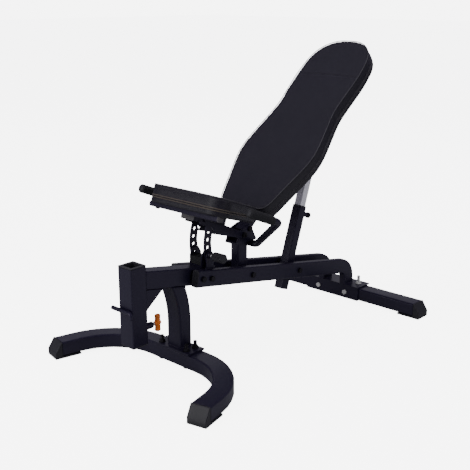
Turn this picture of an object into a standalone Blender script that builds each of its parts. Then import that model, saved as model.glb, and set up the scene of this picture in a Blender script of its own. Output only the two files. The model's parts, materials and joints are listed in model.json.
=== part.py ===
"""Adjustable weight bench with a receiver post, a curved front foot, twin rear rails, a tilting
seat and a reclining back on a telescoping support. Metres, +Z up, +X towards the rear foot."""
import math

import bmesh
import bpy
from mathutils import Matrix, Vector

# Fits
GAP = 0.0003               # between pieces that touch
HOLE_CLEARANCE = 0.0004    # round a bolt or a pin, on the radius
SLIDE_CLEARANCE = 0.0005   # between telescoping tubes, on each side

# Receiver post, its sleeve and the bars and pin on it
POST_SIDE = 0.056
POST_WALL = 0.003
POST_TOP = 0.345
POST_BOTTOM = 0.116
SLEEVE_RIM = 0.003
SLEEVE_WALL = 0.006
SLEEVE_LENGTH = 0.070
PLUG_HEAD = 0.004
PLUG_DEPTH = 0.014
STOP_BAR_RADIUS = 0.0060
STOP_BAR_HEIGHT = 0.222
STOP_BAR_REACH = 0.050
RECEIVER_PIN_HEIGHT = 0.153
RECEIVER_PIN_RADIUS = 0.0048
BARREL_RADIUS = 0.0115
BARREL_LENGTH = 0.038
PULL_RADIUS = 0.0090
PULL_LENGTH = 0.0515

# Sloping spine: a beam at the front, and two rails beside it that bend down to the rear foot
SLOPE = 10.77
BEAM_WIDTH = 0.051
BEAM_HEIGHT = 0.054
BEAM_WALL = 0.003
BEAM_TOP_AT_POST = 0.3335
BEAM_END = 0.300
RAIL_WIDTH = 0.025
RAIL_HEIGHT = 0.051
RAIL_WALL = 0.002
RAIL_TOP_AT_POST = 0.332
RAIL_START = 0.203
RAIL_BEND_RADIUS = 0.056
SIDE_SPACE = 0.008         # between the beam's side and a rail, where a seat plate runs
GUSSET_LEG_X = 0.062
GUSSET_LEG_Z = 0.060
GUSSET_WIDTH = 0.0504

# Feet
FOOT_WIDTH = 0.060
FOOT_HEIGHT = 0.045
FOOT_WALL = 0.0025
FOOT_CLEARANCE = 0.0066    # floor to the underside of the tubes
FRONT_FOOT_X = 0.1695
FRONT_STRAIGHT = 0.098     # half of the straight middle
FRONT_BEND_RADIUS = 0.1995
FRONT_BEND_ANGLE = 77.3
FRONT_ARM = 0.0587
REAR_FOOT_X = 0.9765
REAR_HALF_LENGTH = 0.334
CAP_LENGTH = 0.024
CAP_SOLE_LENGTH = 0.060
CAP_NOSE_HEIGHT = 0.020
CAP_PLUG_DEPTH = 0.022
CAP_PLUG_CLEARANCE = 0.0016  # keeps the plug clear of the bore's round corners

# Front leg and its flange
LEG_DEPTH = 0.046
LEG_WIDTH = 0.057
LEG_WALL = 0.0025
LEG_X = 0.174
LEG_CURVE_START = 0.135
LEG_CURVE_RADIUS = 0.290
FLANGE_THICKNESS = 0.006
FLANGE_HALF_LENGTH = 0.075
FLANGE_BOLT_Y = 0.052
FLANGE_BOLT_SPREAD = 0.018

# Rear saddle over the foot
SADDLE_THICKNESS = 0.005
SADDLE_HALF_LENGTH = 0.113
SADDLE_BOLT_Y = 0.058
CLAMP_BOLT_Y = 0.086
CLAMP_BOLT_TAIL = 0.020

# Bolts
BOLT_RADIUS = 0.005
BOLT_FLATS = 0.016
BOLT_HEAD = 0.0065
NUT_HEIGHT = 0.007
RAIL_BOLT_X = (0.219, 0.2543)

# Seat post and hinge bracket
SEAT_POST_X = 0.4374
SEAT_POST_DEPTH = 0.042
SEAT_POST_WIDTH = 0.034
SEAT_POST_WALL = 0.003
SEAT_POST_TOP = 0.320
BRACKET_PLATE = 0.005
BRACKET_FRONT = 0.400
BRACKET_REAR = 0.490
BRACKET_CHEEK = 0.004
SPINE_SIDE_SPACE = 0.0025

# Seat
SEAT_TILT = 18.46
SEAT_FRONT_X = 0.199
SEAT_TOP_FRONT = 0.520
SEAT_LENGTH = 0.222
SEAT_HALF_WIDTH = 0.150
SEAT_REAR_HALF_WIDTH = 0.112
SEAT_PAD = 0.033
BOARD = 0.012
SEAT_TUBE_WIDTH = 0.054
SEAT_TUBE_HEIGHT = 0.030
SEAT_TUBE_WALL = 0.002
SEAT_TUBE_LENGTH = 0.165
SEAT_TUBE_FROM_FRONT = 0.012
SEAT_PIVOT = (0.425, 0.350)
SIDE_PLATE = 0.004
LADDER_RADIUS = 0.1595
LADDER_HALF_WIDTH = 0.0145
LADDER_PITCH = 8.4
LADDER_PIN_ANGLE = -10.2   # below the pivot's level, seen from the side
LADDER_HOLES = 4
CROSS_BAR_HALF_LENGTH = 0.138
CROSS_BAR_DEPTH = 0.028
CROSS_BAR_HEIGHT = 0.016
LOCK_PIN_RADIUS = 0.005
LOCK_LUG = 0.003
LOCK_LUG_SPACE = 0.004     # between a side plate and the lug
LOCK_BARREL_END = 0.0430
LOCK_TRAVEL = 0.0105       # the pin is drawn back by this much
LOCK_KNOB_RADIUS = 0.014
LOCK_KNOB_LENGTH = 0.042

# Back
BACK_ANGLE = 40.84
BACK_FRONT_POINT = (0.444, 0.435)   # lower edge of the pad's front face
BACK_LENGTH = 0.727
BACK_PAD = 0.038
SPINE_WIDTH = 0.036
SPINE_HEIGHT = 0.030
SPINE_WALL = 0.002
SPINE_LENGTH = 0.620
PIVOT_BELOW_PAD = 0.0375
SLOTTED_PLATE = 0.003

# Telescoping support
SUPPORT_PIVOT = (0.6715, 0.179)
SUPPORT_ANGLE = 71.0
SUPPORT_TO_TOP = 0.4168
OUTER_SIDE = 0.034
OUTER_WALL = 0.0025
OUTER_ABOVE = 0.2075
OUTER_BELOW = 0.075
INNER_WALL = 0.002
INNER_LENGTH = 0.410
INNER_EYE = 0.0088
PIN_HOLE_PITCH = 0.0392
SUPPORT_PIN_TRAVEL = 0.0065  # the pin is drawn back by this much

# Handles
HANDLE_Y = 0.2212
HANDLE_FRONT = (0.2375, 0.4885)
HANDLE_CORNER = (0.362, 0.437)
HANDLE_CENTRE = (0.478, 0.3085)
HANDLE_MIDDLE = 0.036      # half of the middle stretch, under the hinge bracket
HANDLE_BEND = 0.032
HANDLE_CENTRE_BEND = 0.040
HANDLE_RADIUS = 0.0110
GRIP_RADIUS = 0.0135
GRIP_LENGTH = 0.105

# Worked-out levels and places
FOOT_TOP = FOOT_CLEARANCE + FOOT_HEIGHT
FLANGE_TOP = FOOT_TOP + GAP + FLANGE_THICKNESS
RAIL_INNER = BEAM_WIDTH / 2 + SIDE_SPACE
RAIL_OUTER = RAIL_INNER + RAIL_WIDTH
FALL = math.tan(math.radians(SLOPE))
STEEP = 1 / math.cos(math.radians(SLOPE))
CHEEK_INNER = SPINE_WIDTH / 2 + SPINE_SIDE_SPACE
CHEEK_OUTER = CHEEK_INNER + BRACKET_CHEEK
SIDE_PLATE_INNER = SEAT_TUBE_WIDTH / 2 + GAP
SIDE_PLATE_OUTER = SIDE_PLATE_INNER + SIDE_PLATE


def beam_top(x):
    return BEAM_TOP_AT_POST - FALL * x


def rail_top(x):
    return RAIL_TOP_AT_POST - FALL * x


def beam_bottom(x):
    return beam_top(x) - BEAM_HEIGHT * STEEP


def rail_bottom(x):
    return rail_top(x) - RAIL_HEIGHT * STEEP


# Materials and objects

def material(name, colour, roughness, metallic=0.0):
    m = bpy.data.materials.new(name)
    m.use_nodes = True
    shader = m.node_tree.nodes["Principled BSDF"]
    shader.inputs["Base Color"].default_value = (*colour, 1)
    shader.inputs["Roughness"].default_value = roughness
    shader.inputs["Metallic"].default_value = metallic
    return m


FINISHES = {
    "black_powder_coat": ((0.012, 0.012, 0.015), 0.42, 0.0),
    "black_plastic": ((0.02, 0.02, 0.021), 0.55, 0.0),
    "zinc_plate": ((0.60, 0.60, 0.58), 0.35, 1.0),
    "black_steel": ((0.02, 0.02, 0.022), 0.40, 0.9),
    "silver_paint": ((0.62, 0.62, 0.64), 0.35, 0.6),
    "orange_plastic": ((0.80, 0.20, 0.01), 0.40, 0.0),
    "black_vinyl": ((0.012, 0.012, 0.013), 0.45, 0.0),
    "foam_grip": ((0.015, 0.015, 0.016), 0.85, 0.0),
    "plywood": ((0.10, 0.075, 0.05), 0.80, 0.0),
    "black_rubber": ((0.01, 0.01, 0.01), 0.90, 0.0),
}


def clear_scene():
    for o in list(bpy.data.objects):
        bpy.data.objects.remove(o, do_unlink=True)


def add(name, bm, finish):
    """Makes the object of a bmesh, with its faces pointing out and its round parts smooth."""
    bmesh.ops.recalc_face_normals(bm, faces=bm.faces)
    mesh = bpy.data.meshes.new(name)
    bm.to_mesh(mesh)
    bm.free()
    mesh.materials.append(material(f"{name}_{finish}", *FINISHES[finish]))
    mesh.shade_smooth()
    mesh.set_sharp_from_angle(angle=math.radians(32))
    o = bpy.data.objects.new(name, mesh)
    bpy.context.scene.collection.objects.link(o)
    return o


def hide_cutter(o):
    o.hide_render = True
    o.display_type = "WIRE"


def boolean(target, tool, operation):
    m = target.modifiers.new(tool.name, "BOOLEAN")
    m.operation = operation
    m.solver = "EXACT"
    m.object = tool
    hide_cutter(tool)


def loft(rings, closed_ends=True):
    """A bmesh whose skin runs from ring to ring, each ring having as many points."""
    bm = bmesh.new()
    loops = [[bm.verts.new(p) for p in ring] for ring in rings]
    for a, b in zip(loops, loops[1:]):
        for i in range(len(a)):
            j = (i + 1) % len(a)
            bm.faces.new((a[i], a[j], b[j], b[i]))
    if closed_ends:
        bm.faces.new(loops[0])
        bm.faces.new(loops[-1])
    return bm


def hollow_loft(outer, inner):
    """A bmesh of a tube: an outer and an inner skin joined round both ends."""
    bm = bmesh.new()
    skins = [[[bm.verts.new(p) for p in ring] for ring in rings] for rings in (outer, inner)]
    for skin in skins:
        for a, b in zip(skin, skin[1:]):
            for i in range(len(a)):
                j = (i + 1) % len(a)
                bm.faces.new((a[i], a[j], b[j], b[i]))
    for end in (0, -1):
        a, b = skins[0][end], skins[1][end]
        for i in range(len(a)):
            j = (i + 1) % len(a)
            bm.faces.new((a[i], a[j], b[j], b[i]))
    return bm


def rounded_section(width, height, radius, steps=2):
    """Points of a rectangle with round corners, about its centre."""
    points = []
    for cx, cy, start in ((1, 1, 0), (-1, 1, 90), (-1, -1, 180), (1, -1, 270)):
        for k in range(steps + 1):
            a = math.radians(start + 90 * k / steps)
            points.append((cx * (width / 2 - radius) + radius * math.cos(a),
                           cy * (height / 2 - radius) + radius * math.sin(a)))
    return points


def circle_section(radius, sides=16):
    return [(radius * math.cos(2 * math.pi * k / sides), radius * math.sin(2 * math.pi * k / sides))
            for k in range(sides)]


def tangents(path):
    out = []
    for i in range(len(path)):
        a = path[max(i - 1, 0)]
        b = path[min(i + 1, len(path) - 1)]
        out.append((b - a).normalized())
    out[0] = (path[1] - path[0]).normalized()
    out[-1] = (path[-1] - path[-2]).normalized()
    return out


def sweep_rings(path, side, section, ends=(None, None)):
    """Rings of a section along a path. The section's first axis is side, its second is across
    it. A bend keeps its true width. ends holds plane normals that cut the first and last ring."""
    rings = []
    ts = tangents(path)
    for i, (p, t) in enumerate(zip(path, ts)):
        along_side = (side - t * side.dot(t)).normalized()
        across = t.cross(along_side)
        stretch = 1.0
        if 0 < i < len(path) - 1:
            stretch = 1 / max(t.dot((path[i + 1] - p).normalized()), 0.5)
        ring = [p + along_side * a + across * (b * stretch) for a, b in section]
        normal = ends[0] if i == 0 else ends[1] if i == len(path) - 1 else None
        if normal is not None:
            ring = [q - t * ((q - p).dot(normal) / t.dot(normal)) for q in ring]
        rings.append(ring)
    return rings


def square_tube(name, path, side, width, height, wall, finish, radius=0.004, ends=(None, None)):
    """A hollow rectangular tube along a path: width along side, height across it."""
    outer = sweep_rings(path, side, rounded_section(width, height, radius), ends)
    bore = rounded_section(width - 2 * wall, height - 2 * wall, max(radius - wall, 0.0008))
    inner = sweep_rings(path, side, bore, ends)
    return add(name, hollow_loft(outer, inner), finish)


def bar(name, path, side, section, finish, ends=(None, None)):
    return add(name, loft(sweep_rings(path, side, section, ends)), finish)


def plate(name, outline, y0, y1, finish):
    """A plate whose outline lies in the XZ plane, from y0 to y1."""
    rings = [[Vector((x, y, z)) for x, z in outline] for y in (y0, y1)]
    return add(name, loft(rings), finish)


def box(name, low, high, finish):
    x0, y0, z0 = low
    x1, y1, z1 = high
    return plate(name, [(x0, z0), (x1, z0), (x1, z1), (x0, z1)], y0, y1, finish)


def frame_of(axis):
    axis = Vector(axis).normalized()
    helper = Vector((0, 0, 1)) if abs(axis.z) < 0.9 else Vector((1, 0, 0))
    u = helper.cross(axis).normalized()
    return axis, u, axis.cross(u)


def turned(centre, axis, profile, sides=16):
    """Rings of a turned shape. profile holds (distance along axis, radius) or, for a hexagon,
    (distance, half of the flats, "hex")."""
    axis, u, v = frame_of(axis)
    rings = []
    for step in profile:
        ring = []
        for k in range(sides):
            a = 2 * math.pi * k / sides
            r = step[1]
            if len(step) == 3:
                r /= math.cos((a + math.pi / 6) % (math.pi / 3) - math.pi / 6)
            ring.append(Vector(centre) + axis * step[0] + (u * math.cos(a) + v * math.sin(a)) * r)
        rings.append(ring)
    return rings


def turned_part(name, centre, axis, profile, finish, sides=16):
    return add(name, loft(turned(centre, axis, profile, sides)), finish)


def bolt(name, centre, axis, grip, finish="black_steel", radius=BOLT_RADIUS, tail=0.004):
    """A bolt and its nut as one piece, with the clamped stack of thickness grip about centre."""
    h = grip / 2 + GAP
    flats = BOLT_FLATS / 2
    profile = [(-h - BOLT_HEAD, flats - 0.001, "hex"), (-h - BOLT_HEAD + 0.001, flats, "hex"),
               (-h, flats, "hex"), (-h, radius), (h, radius), (h, flats, "hex"),
               (h + NUT_HEIGHT - 0.001, flats, "hex"), (h + NUT_HEIGHT, flats - 0.001, "hex"),
               (h + NUT_HEIGHT, radius), (h + NUT_HEIGHT + tail, radius)]
    return turned_part(name, centre, axis, profile, finish, sides=12)


def drill(target, centre, axis, radius, length, tag):
    """A round hole through target, centred on centre."""
    tool = turned_part(f"{target.name}_{tag}", centre, axis,
                       [(-length / 2, radius), (length / 2, radius)], "zinc_plate")
    boolean(target, tool, "DIFFERENCE")


def arc(centre, radius, start, end, steps):
    """Points on an arc in a plane, with angles in degrees."""
    cx, cy = centre
    return [(cx + radius * math.cos(math.radians(start + (end - start) * k / steps)),
             cy + radius * math.sin(math.radians(start + (end - start) * k / steps)))
            for k in range(steps + 1)]


def xz(points, y=0.0):
    return [Vector((x, y, z)) for x, z in points]


# Base

def front_foot():
    """A tube with a straight middle, two bends towards the front and a short arm at each end."""
    bend_centre = FRONT_FOOT_X - FRONT_BEND_RADIUS
    half = arc((bend_centre, FRONT_STRAIGHT), FRONT_BEND_RADIUS, 0, FRONT_BEND_ANGLE, 9)
    a = math.radians(FRONT_BEND_ANGLE)
    run = Vector((-math.sin(a), math.cos(a), 0))
    z = FOOT_CLEARANCE + FOOT_HEIGHT / 2
    far = [Vector((x, y, z)) for x, y in half]
    far.append(far[-1] + run * FRONT_ARM)
    near = [Vector((p.x, -p.y, p.z)) for p in reversed(far)]
    path = near + far
    square_tube("front_foot", path, Vector((0, 0, 1)), FOOT_HEIGHT, FOOT_WIDTH, FOOT_WALL,
                "black_powder_coat", radius=0.006)
    for side, name in ((1, "left"), (-1, "right")):
        end = Vector((far[-1].x, side * far[-1].y, 0))
        foot_cap(f"front_foot_cap_{name}", end, Vector((run.x, side * run.y, 0)))


def foot_cap(name, end, out):
    """A plastic cap: a sloping nose past the tube's end, a sole under it and a plug in its bore."""
    across = Vector((-out.y, out.x, 0))
    top = FOOT_TOP
    sole_top = FOOT_CLEARANCE - GAP
    outline = [(GAP, top), (GAP, sole_top), (-CAP_SOLE_LENGTH, sole_top), (-CAP_SOLE_LENGTH, 0),
               (CAP_LENGTH, 0), (CAP_LENGTH, CAP_NOSE_HEIGHT), (0.004, top)]
    up = Vector((0, 0, 1))
    half = FOOT_WIDTH / 2
    rings = [[end + out * a + up * b + across * s for a, b in outline] for s in (-half, half)]
    cap = add(name, loft(rings), "black_plastic")
    plug_half = half - FOOT_WALL - CAP_PLUG_CLEARANCE
    low = FOOT_CLEARANCE + FOOT_WALL + CAP_PLUG_CLEARANCE
    high = FOOT_TOP - FOOT_WALL - CAP_PLUG_CLEARANCE
    core = [(-CAP_PLUG_DEPTH, low), (0.004, low), (0.004, high), (-CAP_PLUG_DEPTH, high)]
    rings = [[end + out * a + up * b + across * s for a, b in core]
             for s in (-plug_half, plug_half)]
    boolean(cap, add(f"{name}_plug", loft(rings), "black_plastic"), "UNION")


def rear_foot():
    z = FOOT_CLEARANCE + FOOT_HEIGHT / 2
    path = [Vector((REAR_FOOT_X, y, z)) for y in (-REAR_HALF_LENGTH, 0, REAR_HALF_LENGTH)]
    foot = square_tube("rear_foot", path, Vector((0, 0, 1)), FOOT_HEIGHT, FOOT_WIDTH, FOOT_WALL,
                       "black_powder_coat", radius=0.006)
    for side, name in ((1, "left"), (-1, "right")):
        foot_cap(f"rear_foot_cap_{name}", Vector((REAR_FOOT_X, side * REAR_HALF_LENGTH, 0)),
                 Vector((0, side, 0)))
    return foot


def rear_saddle(foot):
    """An angle plate over the foot's front and top, bolted through the foot from the front."""
    front = REAR_FOOT_X - FOOT_WIDTH / 2 - GAP
    rear = REAR_FOOT_X + FOOT_WIDTH / 2 + 0.008
    top = FOOT_TOP + GAP
    outline = [(front - SADDLE_THICKNESS, FOOT_CLEARANCE), (front, FOOT_CLEARANCE), (front, top),
               (rear, top), (rear, top + SADDLE_THICKNESS),
               (front - SADDLE_THICKNESS, top + SADDLE_THICKNESS)]
    saddle = plate("rear_saddle", outline, -SADDLE_HALF_LENGTH, SADDLE_HALF_LENGTH,
                   "black_powder_coat")
    z = FOOT_CLEARANCE + FOOT_HEIGHT / 2
    for side, name in ((1, "left"), (-1, "right")):
        middle = (REAR_FOOT_X - SADDLE_THICKNESS / 2 - GAP / 2, side * SADDLE_BOLT_Y, z)
        grip = FOOT_WIDTH + SADDLE_THICKNESS + GAP
        bolt(f"saddle_bolt_{name}", middle, (1, 0, 0), grip, "zinc_plate")
        for o in (saddle, foot):
            drill(o, middle, (1, 0, 0), BOLT_RADIUS + HOLE_CLEARANCE, 2 * grip, name)
        clamp_top = top + SADDLE_THICKNESS
        middle = (REAR_FOOT_X + 0.008, side * CLAMP_BOLT_Y, (FOOT_CLEARANCE + clamp_top) / 2)
        upright_bolt(f"clamp_bolt_{name}", middle, clamp_top - FOOT_CLEARANCE, CLAMP_BOLT_TAIL,
                     (saddle, foot), f"clamp_{name}", "zinc_plate")


def upright_bolt(name, middle, grip, tail, clamped, tag, finish):
    """A carriage bolt with its dome under the foot, and a washer and a nut on top."""
    for o in clamped:
        drill(o, middle, (0, 0, 1), BOLT_RADIUS + HOLE_CLEARANCE, 2 * grip, tag)
    h = grip / 2 + GAP
    flats = BOLT_FLATS / 2
    nut = h + 0.0015 + NUT_HEIGHT
    profile = [(-h - 0.003, 0.006), (-h - 0.001, 0.0105), (-h, 0.0105), (-h, BOLT_RADIUS),
               (h, BOLT_RADIUS), (h, flats + 0.0028), (h + 0.0015, flats + 0.0028),
               (h + 0.0015, flats, "hex"), (nut - 0.001, flats, "hex"),
               (nut, flats - 0.001, "hex"), (nut, BOLT_RADIUS),
               (nut + tail - 0.001, BOLT_RADIUS), (nut + tail, BOLT_RADIUS - 0.001)]
    turned_part(name, middle, (0, 0, 1), profile, finish, sides=12)


def leg_and_flange():
    """The curved front leg stands on a flange, which four bolts hold on the front foot."""
    flange = box("leg_flange",
                 (FRONT_FOOT_X - FOOT_WIDTH / 2 - 0.003, -FLANGE_HALF_LENGTH, FOOT_TOP + GAP),
                 (FRONT_FOOT_X + FOOT_WIDTH / 2 + 0.003, FLANGE_HALF_LENGTH, FLANGE_TOP),
                 "black_powder_coat")
    foot = bpy.data.objects["front_foot"]
    for side, end, name in ((1, -1, "front_left"), (-1, -1, "front_right"),
                            (1, 1, "rear_left"), (-1, 1, "rear_right")):
        middle = (FRONT_FOOT_X + end * FLANGE_BOLT_SPREAD, side * FLANGE_BOLT_Y,
                  (FOOT_CLEARANCE + FLANGE_TOP) / 2)
        upright_bolt(f"flange_bolt_{name}", middle, FLANGE_TOP - FOOT_CLEARANCE, 0.013,
                     (flange, foot), name, "black_steel")
    bend = arc((LEG_X - LEG_CURVE_RADIUS, LEG_CURVE_START), LEG_CURVE_RADIUS, 0, 27, 8)
    path = [(LEG_X, FLANGE_TOP + GAP)]
    for x, z in bend:
        path.append((x, z))
        if z > beam_bottom(x):
            break
    x, z = path[-1]
    px, pz = path[-2]
    share = (beam_bottom(px) - GAP - pz) / ((z - pz) - (beam_bottom(x) - beam_bottom(px)))
    path[-1] = (px + (x - px) * share, pz + (z - pz) * share)
    slope = Vector((math.sin(math.radians(SLOPE)), 0, math.cos(math.radians(SLOPE))))
    square_tube("front_leg", xz(path), Vector((0, 1, 0)), LEG_WIDTH, LEG_DEPTH, LEG_WALL,
                "black_powder_coat", radius=0.006, ends=(Vector((0, 0, 1)), slope))


def receiver():
    """The upright post with its plastic sleeve, its bottom plug, the stop bar and the pop pin."""
    half = POST_SIDE / 2
    post = square_tube("receiver_post", [Vector((0, 0, POST_BOTTOM)), Vector((0, 0, POST_TOP))],
                       Vector((0, 1, 0)), POST_SIDE, POST_SIDE, POST_WALL, "black_powder_coat")
    bore = POST_SIDE - 2 * POST_WALL
    outside = bore - 2 * SLIDE_CLEARANCE
    inside = outside - 2 * SLEEVE_WALL
    rim = POST_TOP + GAP
    steps = ((rim + SLEEVE_RIM, POST_SIDE), (rim, POST_SIDE), (rim, outside),
             (POST_TOP - SLEEVE_LENGTH, outside))
    outer = [[Vector((x, y, z)) for x, y in rounded_section(w, w, 0.003)] for z, w in steps]
    inner = [[Vector((x, y, z)) for x, y in rounded_section(inside, inside, 0.002)]
             for z in (rim + SLEEVE_RIM, POST_TOP - SLEEVE_LENGTH)]
    add("receiver_sleeve", hollow_loft(outer, inner), "black_plastic")
    low = POST_BOTTOM - GAP
    steps = ((low - PLUG_HEAD, POST_SIDE - 0.004), (low, POST_SIDE), (low, outside),
             (low + PLUG_DEPTH, outside))
    rings = [[Vector((x, y, z)) for x, y in rounded_section(w, w, 0.003)] for z, w in steps]
    add("post_bottom_plug", loft(rings), "black_plastic")

    x = -half - GAP - STOP_BAR_RADIUS
    bend = [(-(half - 0.006) + 0.008 * math.cos(math.radians(a)),
             STOP_BAR_HEIGHT - 0.008 + 0.008 * math.sin(math.radians(a))) for a in (90, 120, 150, 180)]
    run = [Vector((x, STOP_BAR_REACH, STOP_BAR_HEIGHT)), Vector((x, 0, STOP_BAR_HEIGHT))]
    run += [Vector((x, y, z)) for y, z in bend]
    run.append(run[-1] + Vector((0, 0, -0.010)))
    bar("stop_bar", run, Vector((1, 0, 0)), circle_section(STOP_BAR_RADIUS, 12),
        "black_powder_coat")

    z = RECEIVER_PIN_HEIGHT
    drill(post, (half - POST_WALL / 2, 0, z), (1, 0, 0), RECEIVER_PIN_RADIUS + HOLE_CLEARANCE,
          4 * POST_WALL, "pin_hole")
    pop_pin("receiver_pin", Vector((half + GAP, 0, z)), Vector((1, 0, 0)))
    pull = half + GAP + BARREL_LENGTH + 0.013 + PULL_RADIUS
    end = PULL_LENGTH / 2
    profile = [(-end, 0.004), (-end + 0.002, PULL_RADIUS - 0.001), (-end + 0.005, PULL_RADIUS),
               (-0.006, PULL_RADIUS - 0.0005), (0.006, PULL_RADIUS - 0.0005),
               (end - 0.005, PULL_RADIUS), (end - 0.002, PULL_RADIUS - 0.001), (end, 0.004)]
    handle = turned_part("receiver_pin_handle", (pull, 0, z), (0, 0, 1), profile,
                         "orange_plastic", sides=20)
    drill(handle, (pull, 0, z), (1, 0, 0), RECEIVER_PIN_RADIUS - 0.001 + HOLE_CLEARANCE,
          4 * PULL_RADIUS, "rod_hole")
    turned_part("receiver_pin_plunger", (half + GAP, 0, z), (1, 0, 0),
                [(-POST_WALL - 0.008, RECEIVER_PIN_RADIUS - 0.001),
                 (-POST_WALL - 0.006, RECEIVER_PIN_RADIUS), (0.010, RECEIVER_PIN_RADIUS),
                 (0.010, 0.0071), (0.012, 0.0071), (0.012, RECEIVER_PIN_RADIUS - 0.001),
                 (BARREL_LENGTH + 0.013 + 2 * PULL_RADIUS + 0.002, RECEIVER_PIN_RADIUS - 0.001)],
                "zinc_plate")


def pop_pin(name, foot, axis):
    """A threaded barrel on a face, hollow for its plunger and spring. foot is on the face."""
    neck = RECEIVER_PIN_RADIUS - 0.001 + HOLE_CLEARANCE
    outer = turned(foot, axis, [(0, BARREL_RADIUS), (0.006, BARREL_RADIUS),
                                (0.006, BARREL_RADIUS - 0.0015),
                                (BARREL_LENGTH - 0.006, BARREL_RADIUS - 0.0015),
                                (BARREL_LENGTH - 0.004, BARREL_RADIUS - 0.0020),
                                (BARREL_LENGTH, BARREL_RADIUS - 0.0020)])
    inner = turned(foot, axis, [(0, 0.0076), (BARREL_LENGTH - 0.004, 0.0076),
                                (BARREL_LENGTH - 0.004, neck), (BARREL_LENGTH, neck)])
    return add(f"{name}_barrel", hollow_loft(outer, inner), "black_powder_coat")


def beam_and_gusset():
    start = POST_SIDE / 2 + GAP
    end = BEAM_END
    middle = BEAM_HEIGHT * STEEP / 2
    path = xz([(start, beam_top(start) - middle), (end, beam_top(end) - middle)])
    beam = square_tube("front_beam", path, Vector((0, 1, 0)), BEAM_WIDTH, BEAM_HEIGHT, BEAM_WALL,
                       "black_powder_coat", ends=(Vector((1, 0, 0)), None))
    corner = beam_bottom(start) - GAP
    outline = [(start, corner), (start, corner - GUSSET_LEG_Z),
               (start + GUSSET_LEG_X, beam_bottom(start + GUSSET_LEG_X) - GAP)]
    plate("beam_gusset", outline, -GUSSET_WIDTH / 2, GUSSET_WIDTH / 2, "black_powder_coat")
    return beam


def rails():
    """Two rails: straight along the slope, then bent down to stand on the rear saddle."""
    foot_level = FOOT_TOP + 2 * GAP + SADDLE_THICKNESS
    drop = RAIL_HEIGHT / 2
    down_x = REAR_FOOT_X - 0.0125
    bend_x = down_x - RAIL_BEND_RADIUS
    s, c = math.sin(math.radians(SLOPE)), math.cos(math.radians(SLOPE))
    reach = drop + RAIL_BEND_RADIUS
    top_x = bend_x + reach * s
    bend_z = rail_top(top_x) - reach * c
    start = (RAIL_START, rail_top(RAIL_START))
    first = (start[0] - drop * s, start[1] - drop * c)
    path = [first] + arc((bend_x, bend_z), RAIL_BEND_RADIUS, 90 - SLOPE, 0, 9)
    path.append((down_x, foot_level))
    objects = []
    for side, name in ((1, "left"), (-1, "right")):
        y = side * (RAIL_INNER + RAIL_WIDTH / 2)
        objects.append(square_tube(f"{name}_rail", xz(path, y), Vector((0, 1, 0)), RAIL_WIDTH,
                                   RAIL_HEIGHT, RAIL_WALL, "black_powder_coat"))
    return objects


def rail_bolts(beam, pair):
    """Long bolts through both rails and the beam, with a spacer tube formed on each side."""
    for x, name in zip(RAIL_BOLT_X, ("front", "rear")):
        z = rail_top(x) - RAIL_HEIGHT * STEEP / 2
        for o in (beam, *pair):
            drill(o, (x, 0, z), (0, 1, 0), BOLT_RADIUS + HOLE_CLEARANCE, 3 * RAIL_OUTER, name)
        bolt(f"rail_bolt_{name}", (x, 0, z), (0, 1, 0), 2 * RAIL_OUTER)


def seat_post(pair):
    x = SEAT_POST_X
    low = rail_bottom(x) + 0.004
    path = [Vector((x, 0, low)), Vector((x, 0, SEAT_POST_TOP))]
    post = square_tube("seat_post", path, Vector((0, 1, 0)), SEAT_POST_WIDTH, SEAT_POST_DEPTH,
                       SEAT_POST_WALL, "black_powder_coat")
    z = rail_top(x) - RAIL_HEIGHT * STEEP / 2
    for o in (post, *pair):
        drill(o, (x, 0, z), (0, 1, 0), BOLT_RADIUS + HOLE_CLEARANCE, 3 * RAIL_OUTER, "rail_hole")
    spacer = SEAT_POST_WIDTH / 2 + GAP
    h = RAIL_OUTER + GAP
    wide = 0.009
    flats = BOLT_FLATS / 2
    inner = RAIL_INNER - GAP
    profile = [(-h - BOLT_HEAD, flats, "hex"), (-h, flats, "hex"), (-h, BOLT_RADIUS),
               (-inner, BOLT_RADIUS), (-inner, wide), (-spacer, wide), (-spacer, BOLT_RADIUS),
               (spacer, BOLT_RADIUS), (spacer, wide), (inner, wide), (inner, BOLT_RADIUS),
               (h, BOLT_RADIUS), (h, flats, "hex"), (h + NUT_HEIGHT, flats, "hex")]
    turned_part("seat_post_bolt", (x, 0, z), (0, 1, 0), profile, "black_steel", sides=12)


def back_frame_point(along, away):
    """A point in the XZ plane from the pad's lower front edge: along the pad, and out of it."""
    a = math.radians(BACK_ANGLE)
    x, z = BACK_FRONT_POINT
    return (x + along * math.cos(a) - away * math.sin(a), z + along * math.sin(a) + away * math.cos(a))


def back_pivot():
    depth = BACK_PAD + BOARD + 2 * GAP + SPINE_HEIGHT / 2
    return back_frame_point(-PIVOT_BELOW_PAD, -depth)


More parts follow.
